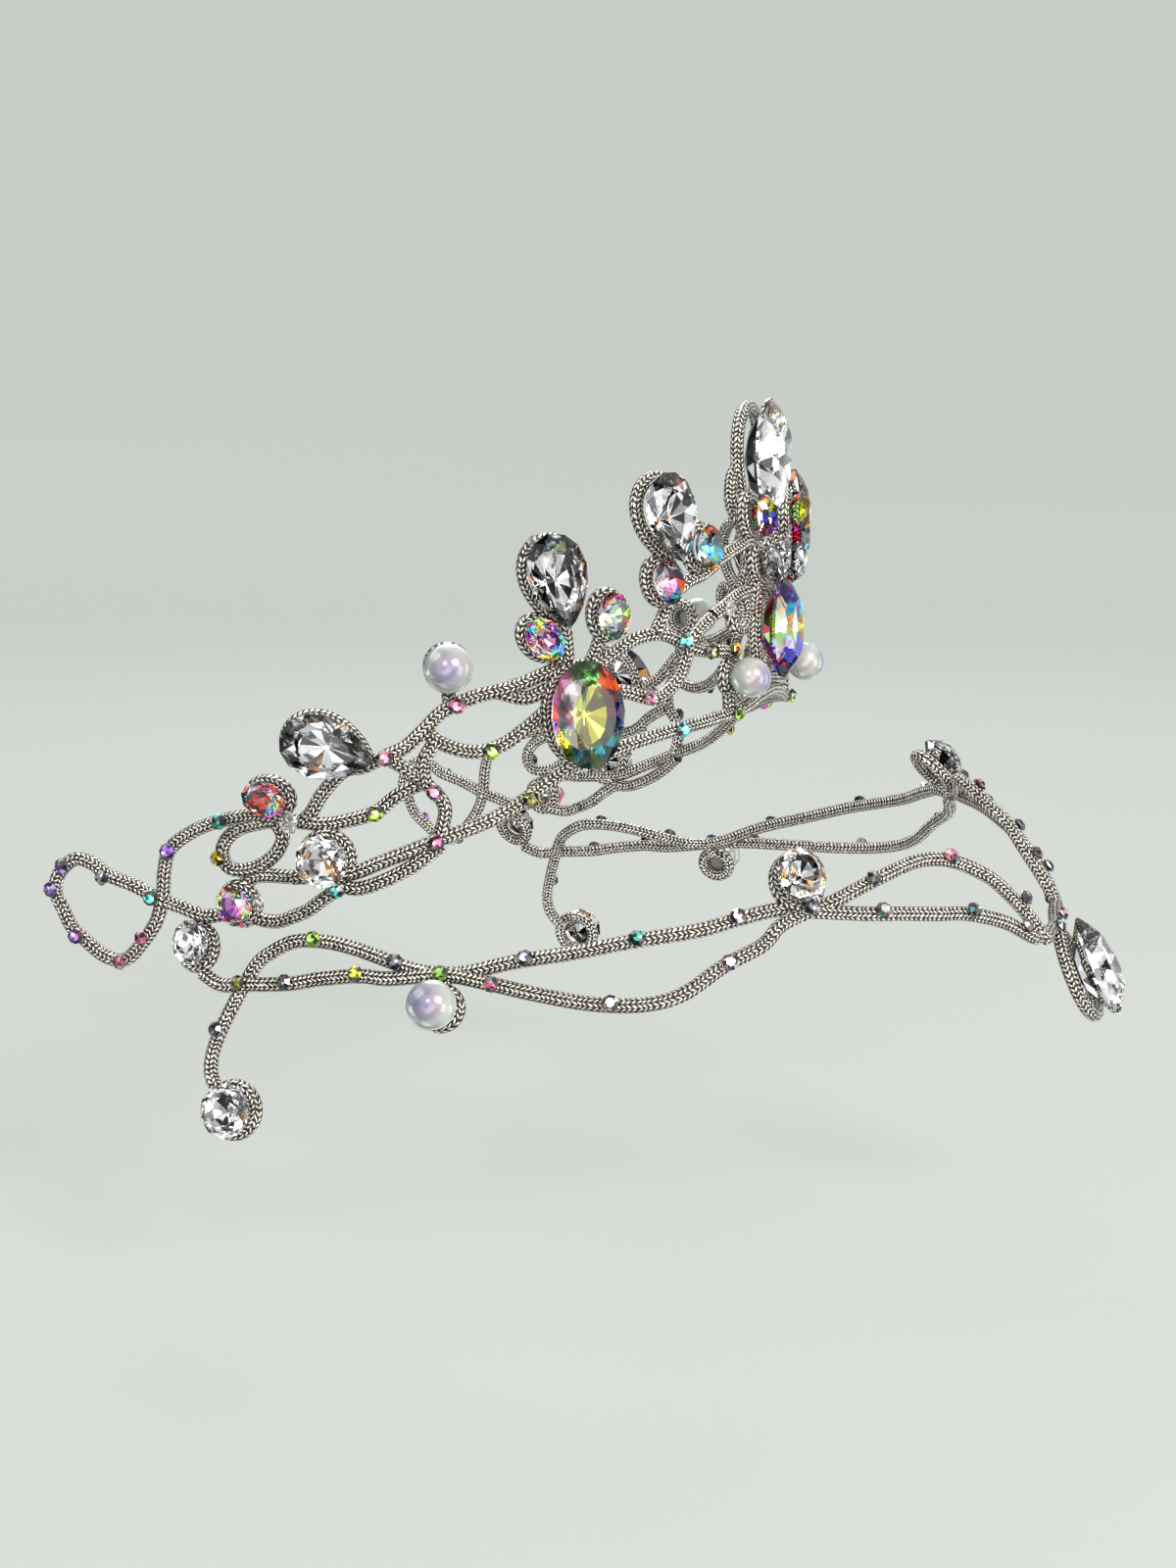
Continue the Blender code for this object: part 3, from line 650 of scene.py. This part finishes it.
def cut_round_stone(corners, rings):
    """Rings of corners, bridged into a table, crown facets, a girdle and a faceted back."""
    bpy.ops.object.select_all(action="DESELECT")
    heights = sorted(ring[1] for ring in rings)
    for number, (share, height, half_step) in enumerate(rings):
        is_end = height in (heights[0], heights[-1])
        bpy.ops.mesh.primitive_circle_add(
            vertices=corners, radius=share, fill_type="NGON" if is_end else "NOTHING",
            location=(0.0, 0.0, height), rotation=(0.0, 0.0, pi / corners if half_step else 0.0))
        if number == 0:
            bpy.ops.object.mode_set(mode="EDIT")
            bpy.ops.mesh.select_mode(type="EDGE")
    stone = bpy.context.object
    for low, high in zip(heights, heights[1:]):
        bpy.ops.mesh.select_all(action="DESELECT")
        bpy.ops.object.mode_set(mode="OBJECT")
        places = [corner.co.z for corner in stone.data.vertices]
        for edge in stone.data.edges:
            ends = [places[corner] for corner in edge.vertices]
            level = abs(ends[0] - ends[1]) < LEVEL_TOLERANCE
            edge.select = level and min(abs(ends[0] - low), abs(ends[0] - high)) < LEVEL_TOLERANCE
        bpy.ops.object.mode_set(mode="EDIT")
        bpy.ops.mesh.bridge_edge_loops()
    bpy.ops.object.mode_set(mode="OBJECT")
    select_faces(stone, lambda face: len(face.vertices) == 4)
    bpy.ops.mesh.quads_convert_to_tris(quad_method="SHORTEST_DIAGONAL")
    bpy.ops.mesh.select_all(action="SELECT")
    bpy.ops.mesh.normals_make_consistent(inside=False)
    bpy.ops.object.mode_set(mode="OBJECT")
    print("round stone:", corners, "corners", len(stone.data.polygons), "facets")
    return stone


LONG_STONE_CORNERS = 16
MIDDLE_STONE_CORNERS = 14
SMALL_STONE_CORNERS = 10
masters = {corners: cut_round_stone(corners, CUT_RINGS)
           for corners in (LONG_STONE_CORNERS, MIDDLE_STONE_CORNERS, SMALL_STONE_CORNERS)}

# %% [markdown]
# ## Crystal, foil and the rainbow coat
#
# The crown is clear crystal, so it bends light as glass does. The back is a mirror foil. On the clear
# stones its facets are painted white, grey, black or amber, a painted reflection of a room over what the
# foil really mirrors, and the rainbow stones have a metal coat that turns each facet another colour.
# Each facet therefore carries its own colour in the mesh, and both finishes read it.

# %% Mix the crystal and foil finishes
def crystal_finish(name):
    """Clear crystal tinted by each facet's own colour."""
    finish = Finish(name)
    tint = finish.node("VertexColor", {"layer_name": "facet"})
    return finish.dress(Base_Color=tint, Roughness=0.01, IOR=1.5, Transmission_Weight=1.0)


def foil_finish(name, roughness, metal):
    """Mirror foil tinted by each facet's own colour."""
    finish = Finish(name)
    tint = finish.node("VertexColor", {"layer_name": "facet"})
    return finish.dress(Base_Color=tint, Roughness=roughness, Metallic=metal)


CRYSTAL = {"clear": crystal_finish("clear_crystal"), "rainbow": crystal_finish("coated_crystal")}
FOIL = {"clear": foil_finish("silver_foil", 0.08, 1.0), "rainbow": foil_finish("coloured_foil", 0.12, 1.0)}

# Foil colours of the clear stones, painted per facet as a painted reflection of a room, and how often each
# comes
SILVER_FOIL_PAINTED_REFLECTION = (((0.96, 0.97, 0.98), 12), ((0.60, 0.62, 0.63), 5), ((0.15, 0.15, 0.15), 2),
               ((0.01, 0.01, 0.01), 3), ((0.45, 0.24, 0.10), 1))
# Foil colours of the rainbow stones, in the order in which they follow one another round a stone:
# from the right side of the stone over its top to the left and on below
RAINBOW_FOIL = ((0.02, 0.16, 0.18), (0.90, 0.12, 0.04), (0.55, 0.95, 0.30), (0.80, 0.05, 0.50),
                (0.90, 0.03, 0.10), (0.04, 0.04, 0.60), (0.95, 0.75, 0.05), (0.05, 0.70, 0.95))
RAINBOW_CROWN = ((0.75, 0.95, 0.55), (1.0, 0.60, 0.45), (0.70, 1.0, 0.85), (0.95, 0.55, 1.0),
                 (1.0, 0.45, 0.50), (0.55, 0.50, 1.0), (1.0, 0.95, 0.45), (0.45, 1.0, 1.0))
RAINBOW_TABLES = {
    "large_oval": (0.62, 0.56, 0.04), "centre_oval": (0.62, 0.72, 1.0), "tail_oval": (0.62, 0.06, 0.05),
    "tail_end_oval": (0.45, 0.06, 0.85), "front_oval_low": (0.85, 0.15, 0.40),
    "front_oval_side": (0.06, 0.85, 0.80), "middle_oval_back": (0.80, 0.20, 0.75),
    "middle_oval_front": (0.55, 0.95, 0.55), "top_side_oval": (0.55, 0.80, 0.45),
}
# How far the colours are turned round a stone, as a share of a full turn
RAINBOW_TURNS = {"large_oval": 0.0, "centre_oval": 0.75, "tail_oval": 0.75, "tail_end_oval": 0.85}
# The other stones are turned by the length of their names, so that they differ
TURN_PER_LETTER = 0.13
STRAY_FACETS = 0.15
PLAIN_MIDDLE = 0.48
PLAIN_FOIL = (0.92, 0.93, 0.92)


def facet_shade(face, stone, is_back, dice):
    """A facet's colour: painted foil reflection by chance, rainbow ones in patches round the stone."""
    if stone.look == "clear" and not is_back:
        return (1.0, 1.0, 1.0)
    # A clear stone's back takes a foil tint by chance: painted reflection of a room.
    if stone.look == "clear":
        return dice.choices([row[0] for row in SILVER_FOIL_PAINTED_REFLECTION], [row[1] for row in SILVER_FOIL_PAINTED_REFLECTION])[0]
    colours = RAINBOW_FOIL if is_back else RAINBOW_CROWN
    if not is_back and len(face.vertices) > 4:
        return RAINBOW_TABLES[stone.name]
    reach = sqrt((2.0 * face.center.x / stone.width) ** 2 + (2.0 * face.center.y / stone.length) ** 2)
    if is_back and reach < PLAIN_MIDDLE and dice.random() > STRAY_FACETS:
        return PLAIN_FOIL
    turned = RAINBOW_TURNS.get(stone.name, len(stone.name) * TURN_PER_LETTER)
    share = atan2(face.center.y, face.center.x) / (2.0 * pi) + turned
    if dice.random() < STRAY_FACETS:
        share = dice.random()
    return colours[int(share * len(colours) + 0.5) % len(colours)]


# %% [markdown]
# ## Setting the stones
#
# A copy of the round stone is pulled to its row's outline, each facet gets its colour, and the stone is
# set a hair above its loop. The crown is crystal and the back is foil.

# %% Set every stone on its loop
LONG_STONE_MM = 16.0
SMALL_STONE_MM = 9.0


def stone_corners(stone):
    """More corners for a longer stone."""
    if stone.length > LONG_STONE_MM:
        return LONG_STONE_CORNERS
    return MIDDLE_STONE_CORNERS if stone.length > SMALL_STONE_MM else SMALL_STONE_CORNERS


def pulled_to_shape(mesh, stone, thick):
    """Pull a round stone of unit size to a stone's outline and thickness."""
    for corner in mesh.vertices:
        x, y, z = corner.co
        angle = atan2(-x, y)
        corner.co = (x * 0.5 * stone.width * pear_share(stone, angle), y * 0.5 * stone.length, z * thick)


def colour_facets(mesh, stone, dice, shade_of=facet_shade):
    """Give each facet its own colour, and the back its foil."""
    tints = mesh.color_attributes.new("facet", "FLOAT_COLOR", "CORNER")
    for face in mesh.polygons:
        is_back = face.center.z < 0.0
        face.material_index = 1 if is_back else 0
        shade = shade_of(face, stone, is_back, dice)
        for corner in face.loop_indices:
            tints.data[corner].color = (*shade, 1.0)


def set_in_place(mesh, stone, setting, side, rise):
    """Turn a mesh in millimetres to a setting and move it there, in metres."""
    lean = Matrix.Rotation(radians(stone.lean) * side, 3, "Z")
    axes = Matrix((setting.across, setting.upward, setting.outward)).transposed() @ lean
    place = setting.point + setting.outward * rise
    mesh.transform(Matrix.Scale(MM, 4) @ Matrix.Translation(place) @ axes.to_4x4())


GIRDLE_RISE = 0.42
for stone, setting_of, side in PLACED_STONES:
    if stone.cut == "pearl":
        continue
    mesh = masters[stone_corners(stone)].data.copy()
    name = piece_name(stone, side)
    pulled_to_shape(mesh, stone, stone.thick)
    colour_facets(mesh, stone, Random(name))
    rise = CORD_RADIUS + SEAT_GAP + GIRDLE_RISE * stone.thick
    set_in_place(mesh, stone, stone_setting(stone, setting_of, side), side, rise)
    piece = bpy.data.objects.new("cut_" + name, mesh)
    bpy.context.collection.objects.link(piece)
    dressed(piece, [CRYSTAL[stone.look], FOIL[stone.look]])
    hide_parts(name)
print("stones set:", sum(stone.cut != "pearl" for stone, setting_of, side in PLACED_STONES))

# %% [markdown]
# ## Pearls
#
# The white beads are half-drilled glass pearls: a dense white body under a thin clear skin, which gives
# them a soft sheen: violet in the middle of the face, mauve round it and pale at the rim. The sheen is
# painted on the bead, and a clear coat over it mirrors the window. The bead starts as a ball, and its
# back is pressed flat where it is glued to the loop.

# %% Make and set the pearls
pearl_skin = Finish("pearl_skin")
pearl_places = pearl_skin.node("TexCoord", output=3)
cloud = pearl_skin.node("TexNoise", inputs={"Vector": pearl_places, "Scale": 180.0, "Detail": 1.0})
sheen = pearl_skin.node("VertexColor", {"layer_name": "sheen"})
pearl_colour = pearl_skin.mix(cloud * 0.5, sheen, (0.40, 0.40, 0.42, 1.0))
pearl_skin.dress(Base_Color=pearl_colour, Roughness=0.30, Coat_Weight=1.0, Coat_Roughness=0.03,
                 Metallic=0.08, Thin_Film_Thickness=430.0, Thin_Film_IOR=1.7)
FLAT_BACK = -0.88
PEARL_SHEEN = (
    # height over the bead's middle as a share of its radius, colour
    (1.00, Vector((0.13, 0.11, 0.30))),
    (0.90, Vector((0.20, 0.16, 0.31))),
    (0.72, Vector((0.30, 0.24, 0.30))),
    (0.40, Vector((0.40, 0.41, 0.40))),
    (-1.00, Vector((0.44, 0.44, 0.41))),
)


def pearl_rise(stone):
    """How far a pearl's middle stands outside its loop."""
    reach = 0.5 * stone.width + CORD_RADIUS + SEAT_GAP
    ring = 0.5 * stone.width * PEARL_LOOP_SHARE
    return sqrt(reach ** 2 - ring ** 2)


def sheen_at(height):
    """The colour of a pearl's sheen at a height over its middle, as a share of its radius."""
    for (top, upper), (base, lower) in zip(PEARL_SHEEN, PEARL_SHEEN[1:]):
        if height >= base:
            return lower.lerp(upper, min((height - base) / (top - base), 1.0))
    return PEARL_SHEEN[-1][1]


for stone, setting_of, side in PLACED_STONES:
    if stone.cut != "pearl":
        continue
    bpy.ops.object.select_all(action="DESELECT")
    bpy.ops.mesh.primitive_uv_sphere_add(segments=40, ring_count=24, radius=0.5 * stone.width)
    bead = bpy.context.object
    bead.name = bead.data.name = "bead_" + piece_name(stone, side)
    back = 0.5 * stone.width * FLAT_BACK
    tints = bead.data.color_attributes.new("sheen", "FLOAT_COLOR", "POINT")
    for corner, tint in zip(bead.data.vertices, tints.data):
        tint.color = (*sheen_at(corner.co.z / (0.5 * stone.width)), 1.0)
        corner.co.z = max(corner.co.z, back)
    bpy.ops.object.shade_smooth()
    set_in_place(bead.data, stone, stone_setting(stone, setting_of, side), side, pearl_rise(stone))
    dressed(bead, [pearl_skin])
    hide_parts(piece_name(stone, side))
print("pearls set")

# %% [markdown]
# ## Tiny round stones along the cord
#
# Little round stones of 2.8 mm, called chatons, are glued along the cords. There are dozens, so one
# small master is cut with eight corners and copied. Through a real one's table the facets of its back
# show, so the table is split into eight: the stone's colour, a painted glint and a dark body that is
# painted reflection. Copies of one look are joined.

# %% List and set the tiny stones
CHATON_WIDTH = 2.8
CHATON_THICK = 1.7
CHATON_RISE = 0.4
CHATON_TURN = 45.0
CHATON_TILT = 14.0
OWN_FACETS = 0.25
TABLE_FACING = 0.99
CHATONS_ON_TIARA = (
    # along, up, colour
    (38.0, -2.0, "pink"), (31.0, -7.8, "cyan"), (59.8, -17.7, "olive"), (75.2, -24.4, "pink"),
    (65.8, -9.8, "lime"), (71.4, -2.4, "pink"), (83.5, -10.6, "pink"), (75.2, -16.0, "pink"),
    (85.0, -19.9, "lime"), (111.5, -22.0, "teal"), (112.0, -28.0, "yellow"),
    (121.5, -27.4, "violet"), (126.2, -42.4, "pink"), (130.5, -46.9, "pink"), (139.3, -42.9, "violet"),
    (143.4, -35.1, "violet"), (140.9, -31.1, "violet"), (133.6, -32.9, "clear"),
    (125.3, -35.6, "teal"), (91.2, -32.6, "cyan"), (23.6, 4.6, "olive"), (30.4, 7.0, "cyan"),
    (16.4, 6.0, "amber"), (16.4, -6.4, "lime"),
)
CHATONS_ON_BAND = (
    # around, up, colour
    (108.0, -47.6, "dark"), (106.0, -40.9, "lime"), (95.6, -43.0, "dark"), (89.6, -44.4, "lime"),
    (99.6, -45.4, "yellow"), (115.6, -55.6, "dark"), (113.6, -48.4, "olive"),
    (81.2, -41.2, "dark"), (69.2, -37.7, "teal"), (57.2, -34.8, "bright"), (48.4, -34.0, "dark"),
    (84.0, -45.6, "pink"), (72.0, -47.0, "bright"), (59.6, -41.4, "rose"), (38.8, -30.2, "dark"),
    (22.8, -28.6, "pink"), (10.8, -35.6, "dark"), (39.2, -34.8, "dark"), (25.6, -36.3, "dark"),
    (15.6, -39.6, "dark"), (2.4, -41.2, "clear"),
)
# The colour of a tiny stone's brightest facets, over a dark body that is painted reflection
CHATON_COLOURS = {
    "clear": (0.75, 0.76, 0.78), "bright": (1.0, 1.0, 1.0), "dark": (0.20, 0.20, 0.22),
    "olive": (0.50, 0.52, 0.12), "lime": (0.45, 0.90, 0.10), "yellow": (1.0, 0.95, 0.05),
    "amber": (0.95, 0.55, 0.08), "pink": (0.90, 0.25, 0.40), "rose": (1.0, 0.62, 0.80),
    "violet": (0.35, 0.15, 0.70), "teal": (0.05, 0.60, 0.45), "cyan": (0.15, 0.85, 0.85),
}
# The dark colours of the rest of a tiny stone: painted reflection of a dark room.
CHATON_PAINTED_DARK_REFLECTIONS = ((0.03, 0.03, 0.03), (0.10, 0.09, 0.09), (0.05, 0.03, 0.09), (0.03, 0.09, 0.09),
                 (0.16, 0.08, 0.07), (0.24, 0.24, 0.25))
CHATON_RINGS = (
    # share of radius, height as a share of the stone's thickness, half step
    (1.00, 0.00, False),
    (0.20, -0.50, False),
    (0.95, 0.14, False),
    (0.52, 0.48, False),
)
CHATON_CORNERS = 8
chaton_master = cut_round_stone(CHATON_CORNERS, CHATON_RINGS)
select_faces(chaton_master, lambda face: len(face.vertices) > 4 and face.center.z > 0.0)
bpy.ops.mesh.poke()
bpy.ops.object.mode_set(mode="OBJECT")
chaton_crystal = foil_finish("tiny_stone", 0.22, 0.85)
# One part of a table is painted white: a painted glint.
PAINTED_GLINT = (1.0, 1.0, 1.0)
# Painted on the eight parts of a table, in order: own colour, a painted glint or a dark painted reflection
TABLE_PARTS = ("own", "own", "own", "glint", "own", "own", "body", "body")


def chaton_shade(face, stone, is_back, dice):
    """A dark painted reflection, own colour on most of the table and a few facets, and a painted glint."""
    if face.normal.z > TABLE_FACING:
        share = atan2(face.center.y, face.center.x) / (2.0 * pi) + stone.lean / CHATON_TURN
        part = TABLE_PARTS[int(share * CHATON_CORNERS) % CHATON_CORNERS]
        if part == "glint":
            return PAINTED_GLINT
        if part == "own":
            return CHATON_COLOURS[stone.look]
    elif dice.random() < OWN_FACETS:
        return CHATON_COLOURS[stone.look]
    return dice.choice(CHATON_PAINTED_DARK_REFLECTIONS)


nearest_cord = KDTree(len(cord_places))
for number, place in enumerate(cord_places):
    nearest_cord.insert(place, number)
nearest_cord.balance()
SIDE_SHARE = 0.35
FURTHEST_ASIDE = 0.6 * CORD_RADIUS
LEAST_ASIDE = 0.1


def seated_on_cord(setting):
    """Move a setting onto the nearest cord, a little to the side that it was drawn on."""
    middle = nearest_cord.find(setting.point)[0]
    aside = setting.point - middle
    aside -= setting.outward * aside.dot(setting.outward)
    share = min(SIDE_SHARE, FURTHEST_ASIDE / max(aside.length, LEAST_ASIDE))
    return setting._replace(point=middle + aside * share)


def set_chatons(name, is_wanted):
    """Copy the tiny stone to its places, and join the copies of one kind."""
    copies = []
    for rows, setting_of in ((CHATONS_ON_TIARA, tiara_setting), (CHATONS_ON_BAND, band_setting)):
        for which in (1, -1):
            for along, up, colour in rows:
                if not is_wanted(colour):
                    continue
                dice = Random(f"{along} {up} {which}")
                tiny = Stone("chaton", "oval", CHATON_WIDTH, CHATON_WIDTH, CHATON_THICK, along, up, 0.0,
                             dice.uniform(0.0, CHATON_TURN), dice.uniform(-CHATON_TILT, CHATON_TILT),
                             colour)
                mesh = chaton_master.data.copy()
                pulled_to_shape(mesh, tiny, CHATON_THICK)
                colour_facets(mesh, tiny, dice, chaton_shade)
                setting = seated_on_cord(stone_setting(tiny, setting_of, which))
                set_in_place(mesh, tiny, setting, which, CORD_RADIUS + CHATON_RISE)
                copies.append(bpy.data.objects.new("chaton", mesh))
                bpy.context.collection.objects.link(copies[-1])
    count = len(copies)
    dressed(joined(copies, name), [chaton_crystal, chaton_crystal])
    print(name, count, "stones")


PLAIN = ("clear", "bright", "dark")
set_chatons("clear_chatons", lambda colour: colour in PLAIN)
set_chatons("rainbow_chatons", lambda colour: colour not in PLAIN)
for master in [*masters.values(), chaton_master]:
    bpy.data.objects.remove(master, do_unlink=True)

# %% [markdown]
# ## Clear glue
#
# Stones and cords are held with clear glue, and a few drops of it show where they dried outside a joint.
# Each drop is a ball that is pressed flat, dented by noise and set beside its joint.

# %% Drop the glue
GLUE_DROPS = (
    # along, up, out, width, length
    (59.2, 24.1, 1.2, 2.2, 2.0), (99.4, -21.6, 1.3, 3.0, 3.8), (18.6, 12.0, 1.0, 2.2, 2.6),
    (105.4, -35.2, 1.0, 2.4, 2.8),
)
GLUE_THICK = 1.3
GLUE_DENT = 0.22
DENTS_PER_DROP = 3.0
glue = Finish("clear_glue")
glue.dress(Base_Color=(0.97, 0.97, 0.95, 1.0), Roughness=0.08, IOR=1.45, Transmission_Weight=0.92)
drops = []
for along, up, out, width, length in GLUE_DROPS:
    for which in (1, -1):
        bpy.ops.mesh.primitive_ico_sphere_add(subdivisions=4, radius=0.5)
        drop = bpy.context.object
        for corner in drop.data.vertices:
            dent = 1.0 + GLUE_DENT * noise.noise(corner.co * DENTS_PER_DROP + Vector((along, up, 0.0)))
            corner.co = Vector((corner.co.x * width, corner.co.y * length, corner.co.z * GLUE_THICK)) * dent
        bpy.ops.object.shade_smooth()
        shape = Stone("drop", "oval", width, length, GLUE_THICK, along, up, out, 0.0, 0.0, "clear")
        set_in_place(drop.data, shape, tiara_setting(which * along, up, out), which, 0.0)
        drops.append(drop)
print("glue drops:", len(drops))
dressed(joined(drops, "glue_drops"), [glue])

# %% [markdown]
# ## Studio
#
# The tiara is held up as if on a head, over a pale floor that curves up into pale walls all round. The
# dome is seen by the camera and takes shadows. Mirror-like stones need something to reflect, so they see
# past the dome to a world with bright windows and dark gaps between them.

# %% Build the dome and the lights
FLOOR_DEPTH = 0.12
FLOOR_CURVE = 0.6
DOME_RADIUS = 4.0
bpy.ops.object.select_all(action="DESELECT")
bpy.ops.mesh.primitive_uv_sphere_add(segments=96, ring_count=48, radius=DOME_RADIUS)
dome = bpy.context.object
dome.name = "studio_dome"
for corner in dome.data.vertices:
    height = corner.co.z
    corner.co.z = 0.5 * (height + sqrt(height ** 2 + FLOOR_CURVE ** 2)) - FLOOR_DEPTH
bpy.ops.object.shade_smooth()
wall = Finish("pale_wall")
wall.dress(Base_Color=(0.20, 0.205, 0.195, 1.0), Roughness=0.9, Specular_IOR_Level=0.1,
           Emission_Color=(0.94, 1.0, 0.95, 1.0), Emission_Strength=0.42)
dome.data.materials.append(wall.material)
dome.visible_glossy = False
dome.visible_transmission = False
dome.visible_shadow = False
dome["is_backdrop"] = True


def softbox(name, place, size, power, colour=(1.0, 1.0, 1.0)):
    """A square area light that faces the tiara."""
    data = bpy.data.lights.new(name, "AREA")
    data.size = size
    data.energy = power
    data.color = colour
    light = bpy.data.objects.new(name, data)
    light.location = place
    light.rotation_euler = (-Vector(place)).to_track_quat("-Z", "Y").to_euler()
    bpy.context.collection.objects.link(light)
    return light


softbox("key_window", (-0.50, -0.80, 0.55), 0.34, 13.0, (1.0, 0.96, 0.90))
softbox("fill_window", (-0.95, -0.1, 0.5), 0.3, 2.0, (0.92, 0.96, 1.0))
softbox("back_window", (0.7, 0.3, 0.7), 0.5, 3.0)

world = bpy.data.worlds.new("studio_world")
bpy.context.scene.world = world
world.use_nodes = True
sky = Recipe(world.node_tree)
direction = sky.node("TexCoord")
cells = sky.node("TexVoronoi", inputs={"Vector": direction, "Scale": 2.3}, output=1)
# How bright a cell of the room is, by its random value: from dark gaps to bright windows
ROOM_STOPS = ((0.0, 0.02), (0.34, 0.05), (0.47, 0.7), (0.66, 1.1), (0.88, 4.0))
panes = sky.node("ValToRGB", {"stops": ROOM_STOPS}, {0: cells})
sky.plug(world.node_tree.nodes["Background"].inputs["Color"], panes)
world.node_tree.nodes["Background"].inputs["Strength"].default_value = 1.0
print("dome, three softboxes and a world")

# %% [markdown]
# ## Camera
#
# The photograph was taken from the wearer's right, a little forward of square, slightly above and quite
# near. The camera stands 440 mm from the tiara. Its lens follows from how large the stones look.

# %% Place the camera
CAMERA_TURN = radians(21.0)
CAMERA_RISE = radians(8.0)
CAMERA_DISTANCE_MM = 440.0
FOCAL_PIXELS = 2420.0
IMAGE_LONG_PIXELS = 1600.0
SENSOR_MM = 36.0
AIM_MM = Vector((0.0, 1.0, -22.6))
towards = Vector((-cos(CAMERA_TURN) * cos(CAMERA_RISE), -sin(CAMERA_TURN) * cos(CAMERA_RISE),
                  sin(CAMERA_RISE)))
lens = bpy.data.cameras.new("camera")
lens.sensor_width = SENSOR_MM
lens.lens = FOCAL_PIXELS / IMAGE_LONG_PIXELS * SENSOR_MM
lens.clip_start = 0.01
camera = bpy.data.objects.new("camera", lens)
camera.location = (AIM_MM + towards * CAMERA_DISTANCE_MM) * MM
camera.rotation_euler = (-towards).to_track_quat("-Z", "Y").to_euler()
bpy.context.collection.objects.link(camera)
bpy.context.scene.camera = camera
bpy.context.scene.view_settings.view_transform = "Standard"

# %% [markdown]
# ## Size
#
# The dressed tiara's box is compared with the imported model's box, and how far it stands out on each
# side is printed. The dressed tiara has to stay close to the imported model's box.

# %% Compare the dressed tiara's box with the imported model's
visual_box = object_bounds()
for axis, letter in enumerate("xyz"):
    low = (cad_box[0][axis] - visual_box[0][axis]) / MM
    high = (visual_box[1][axis] - cad_box[1][axis]) / MM
    print(f"{letter}: the dressed tiara stands out {low:.1f} and {high:.1f} mm")
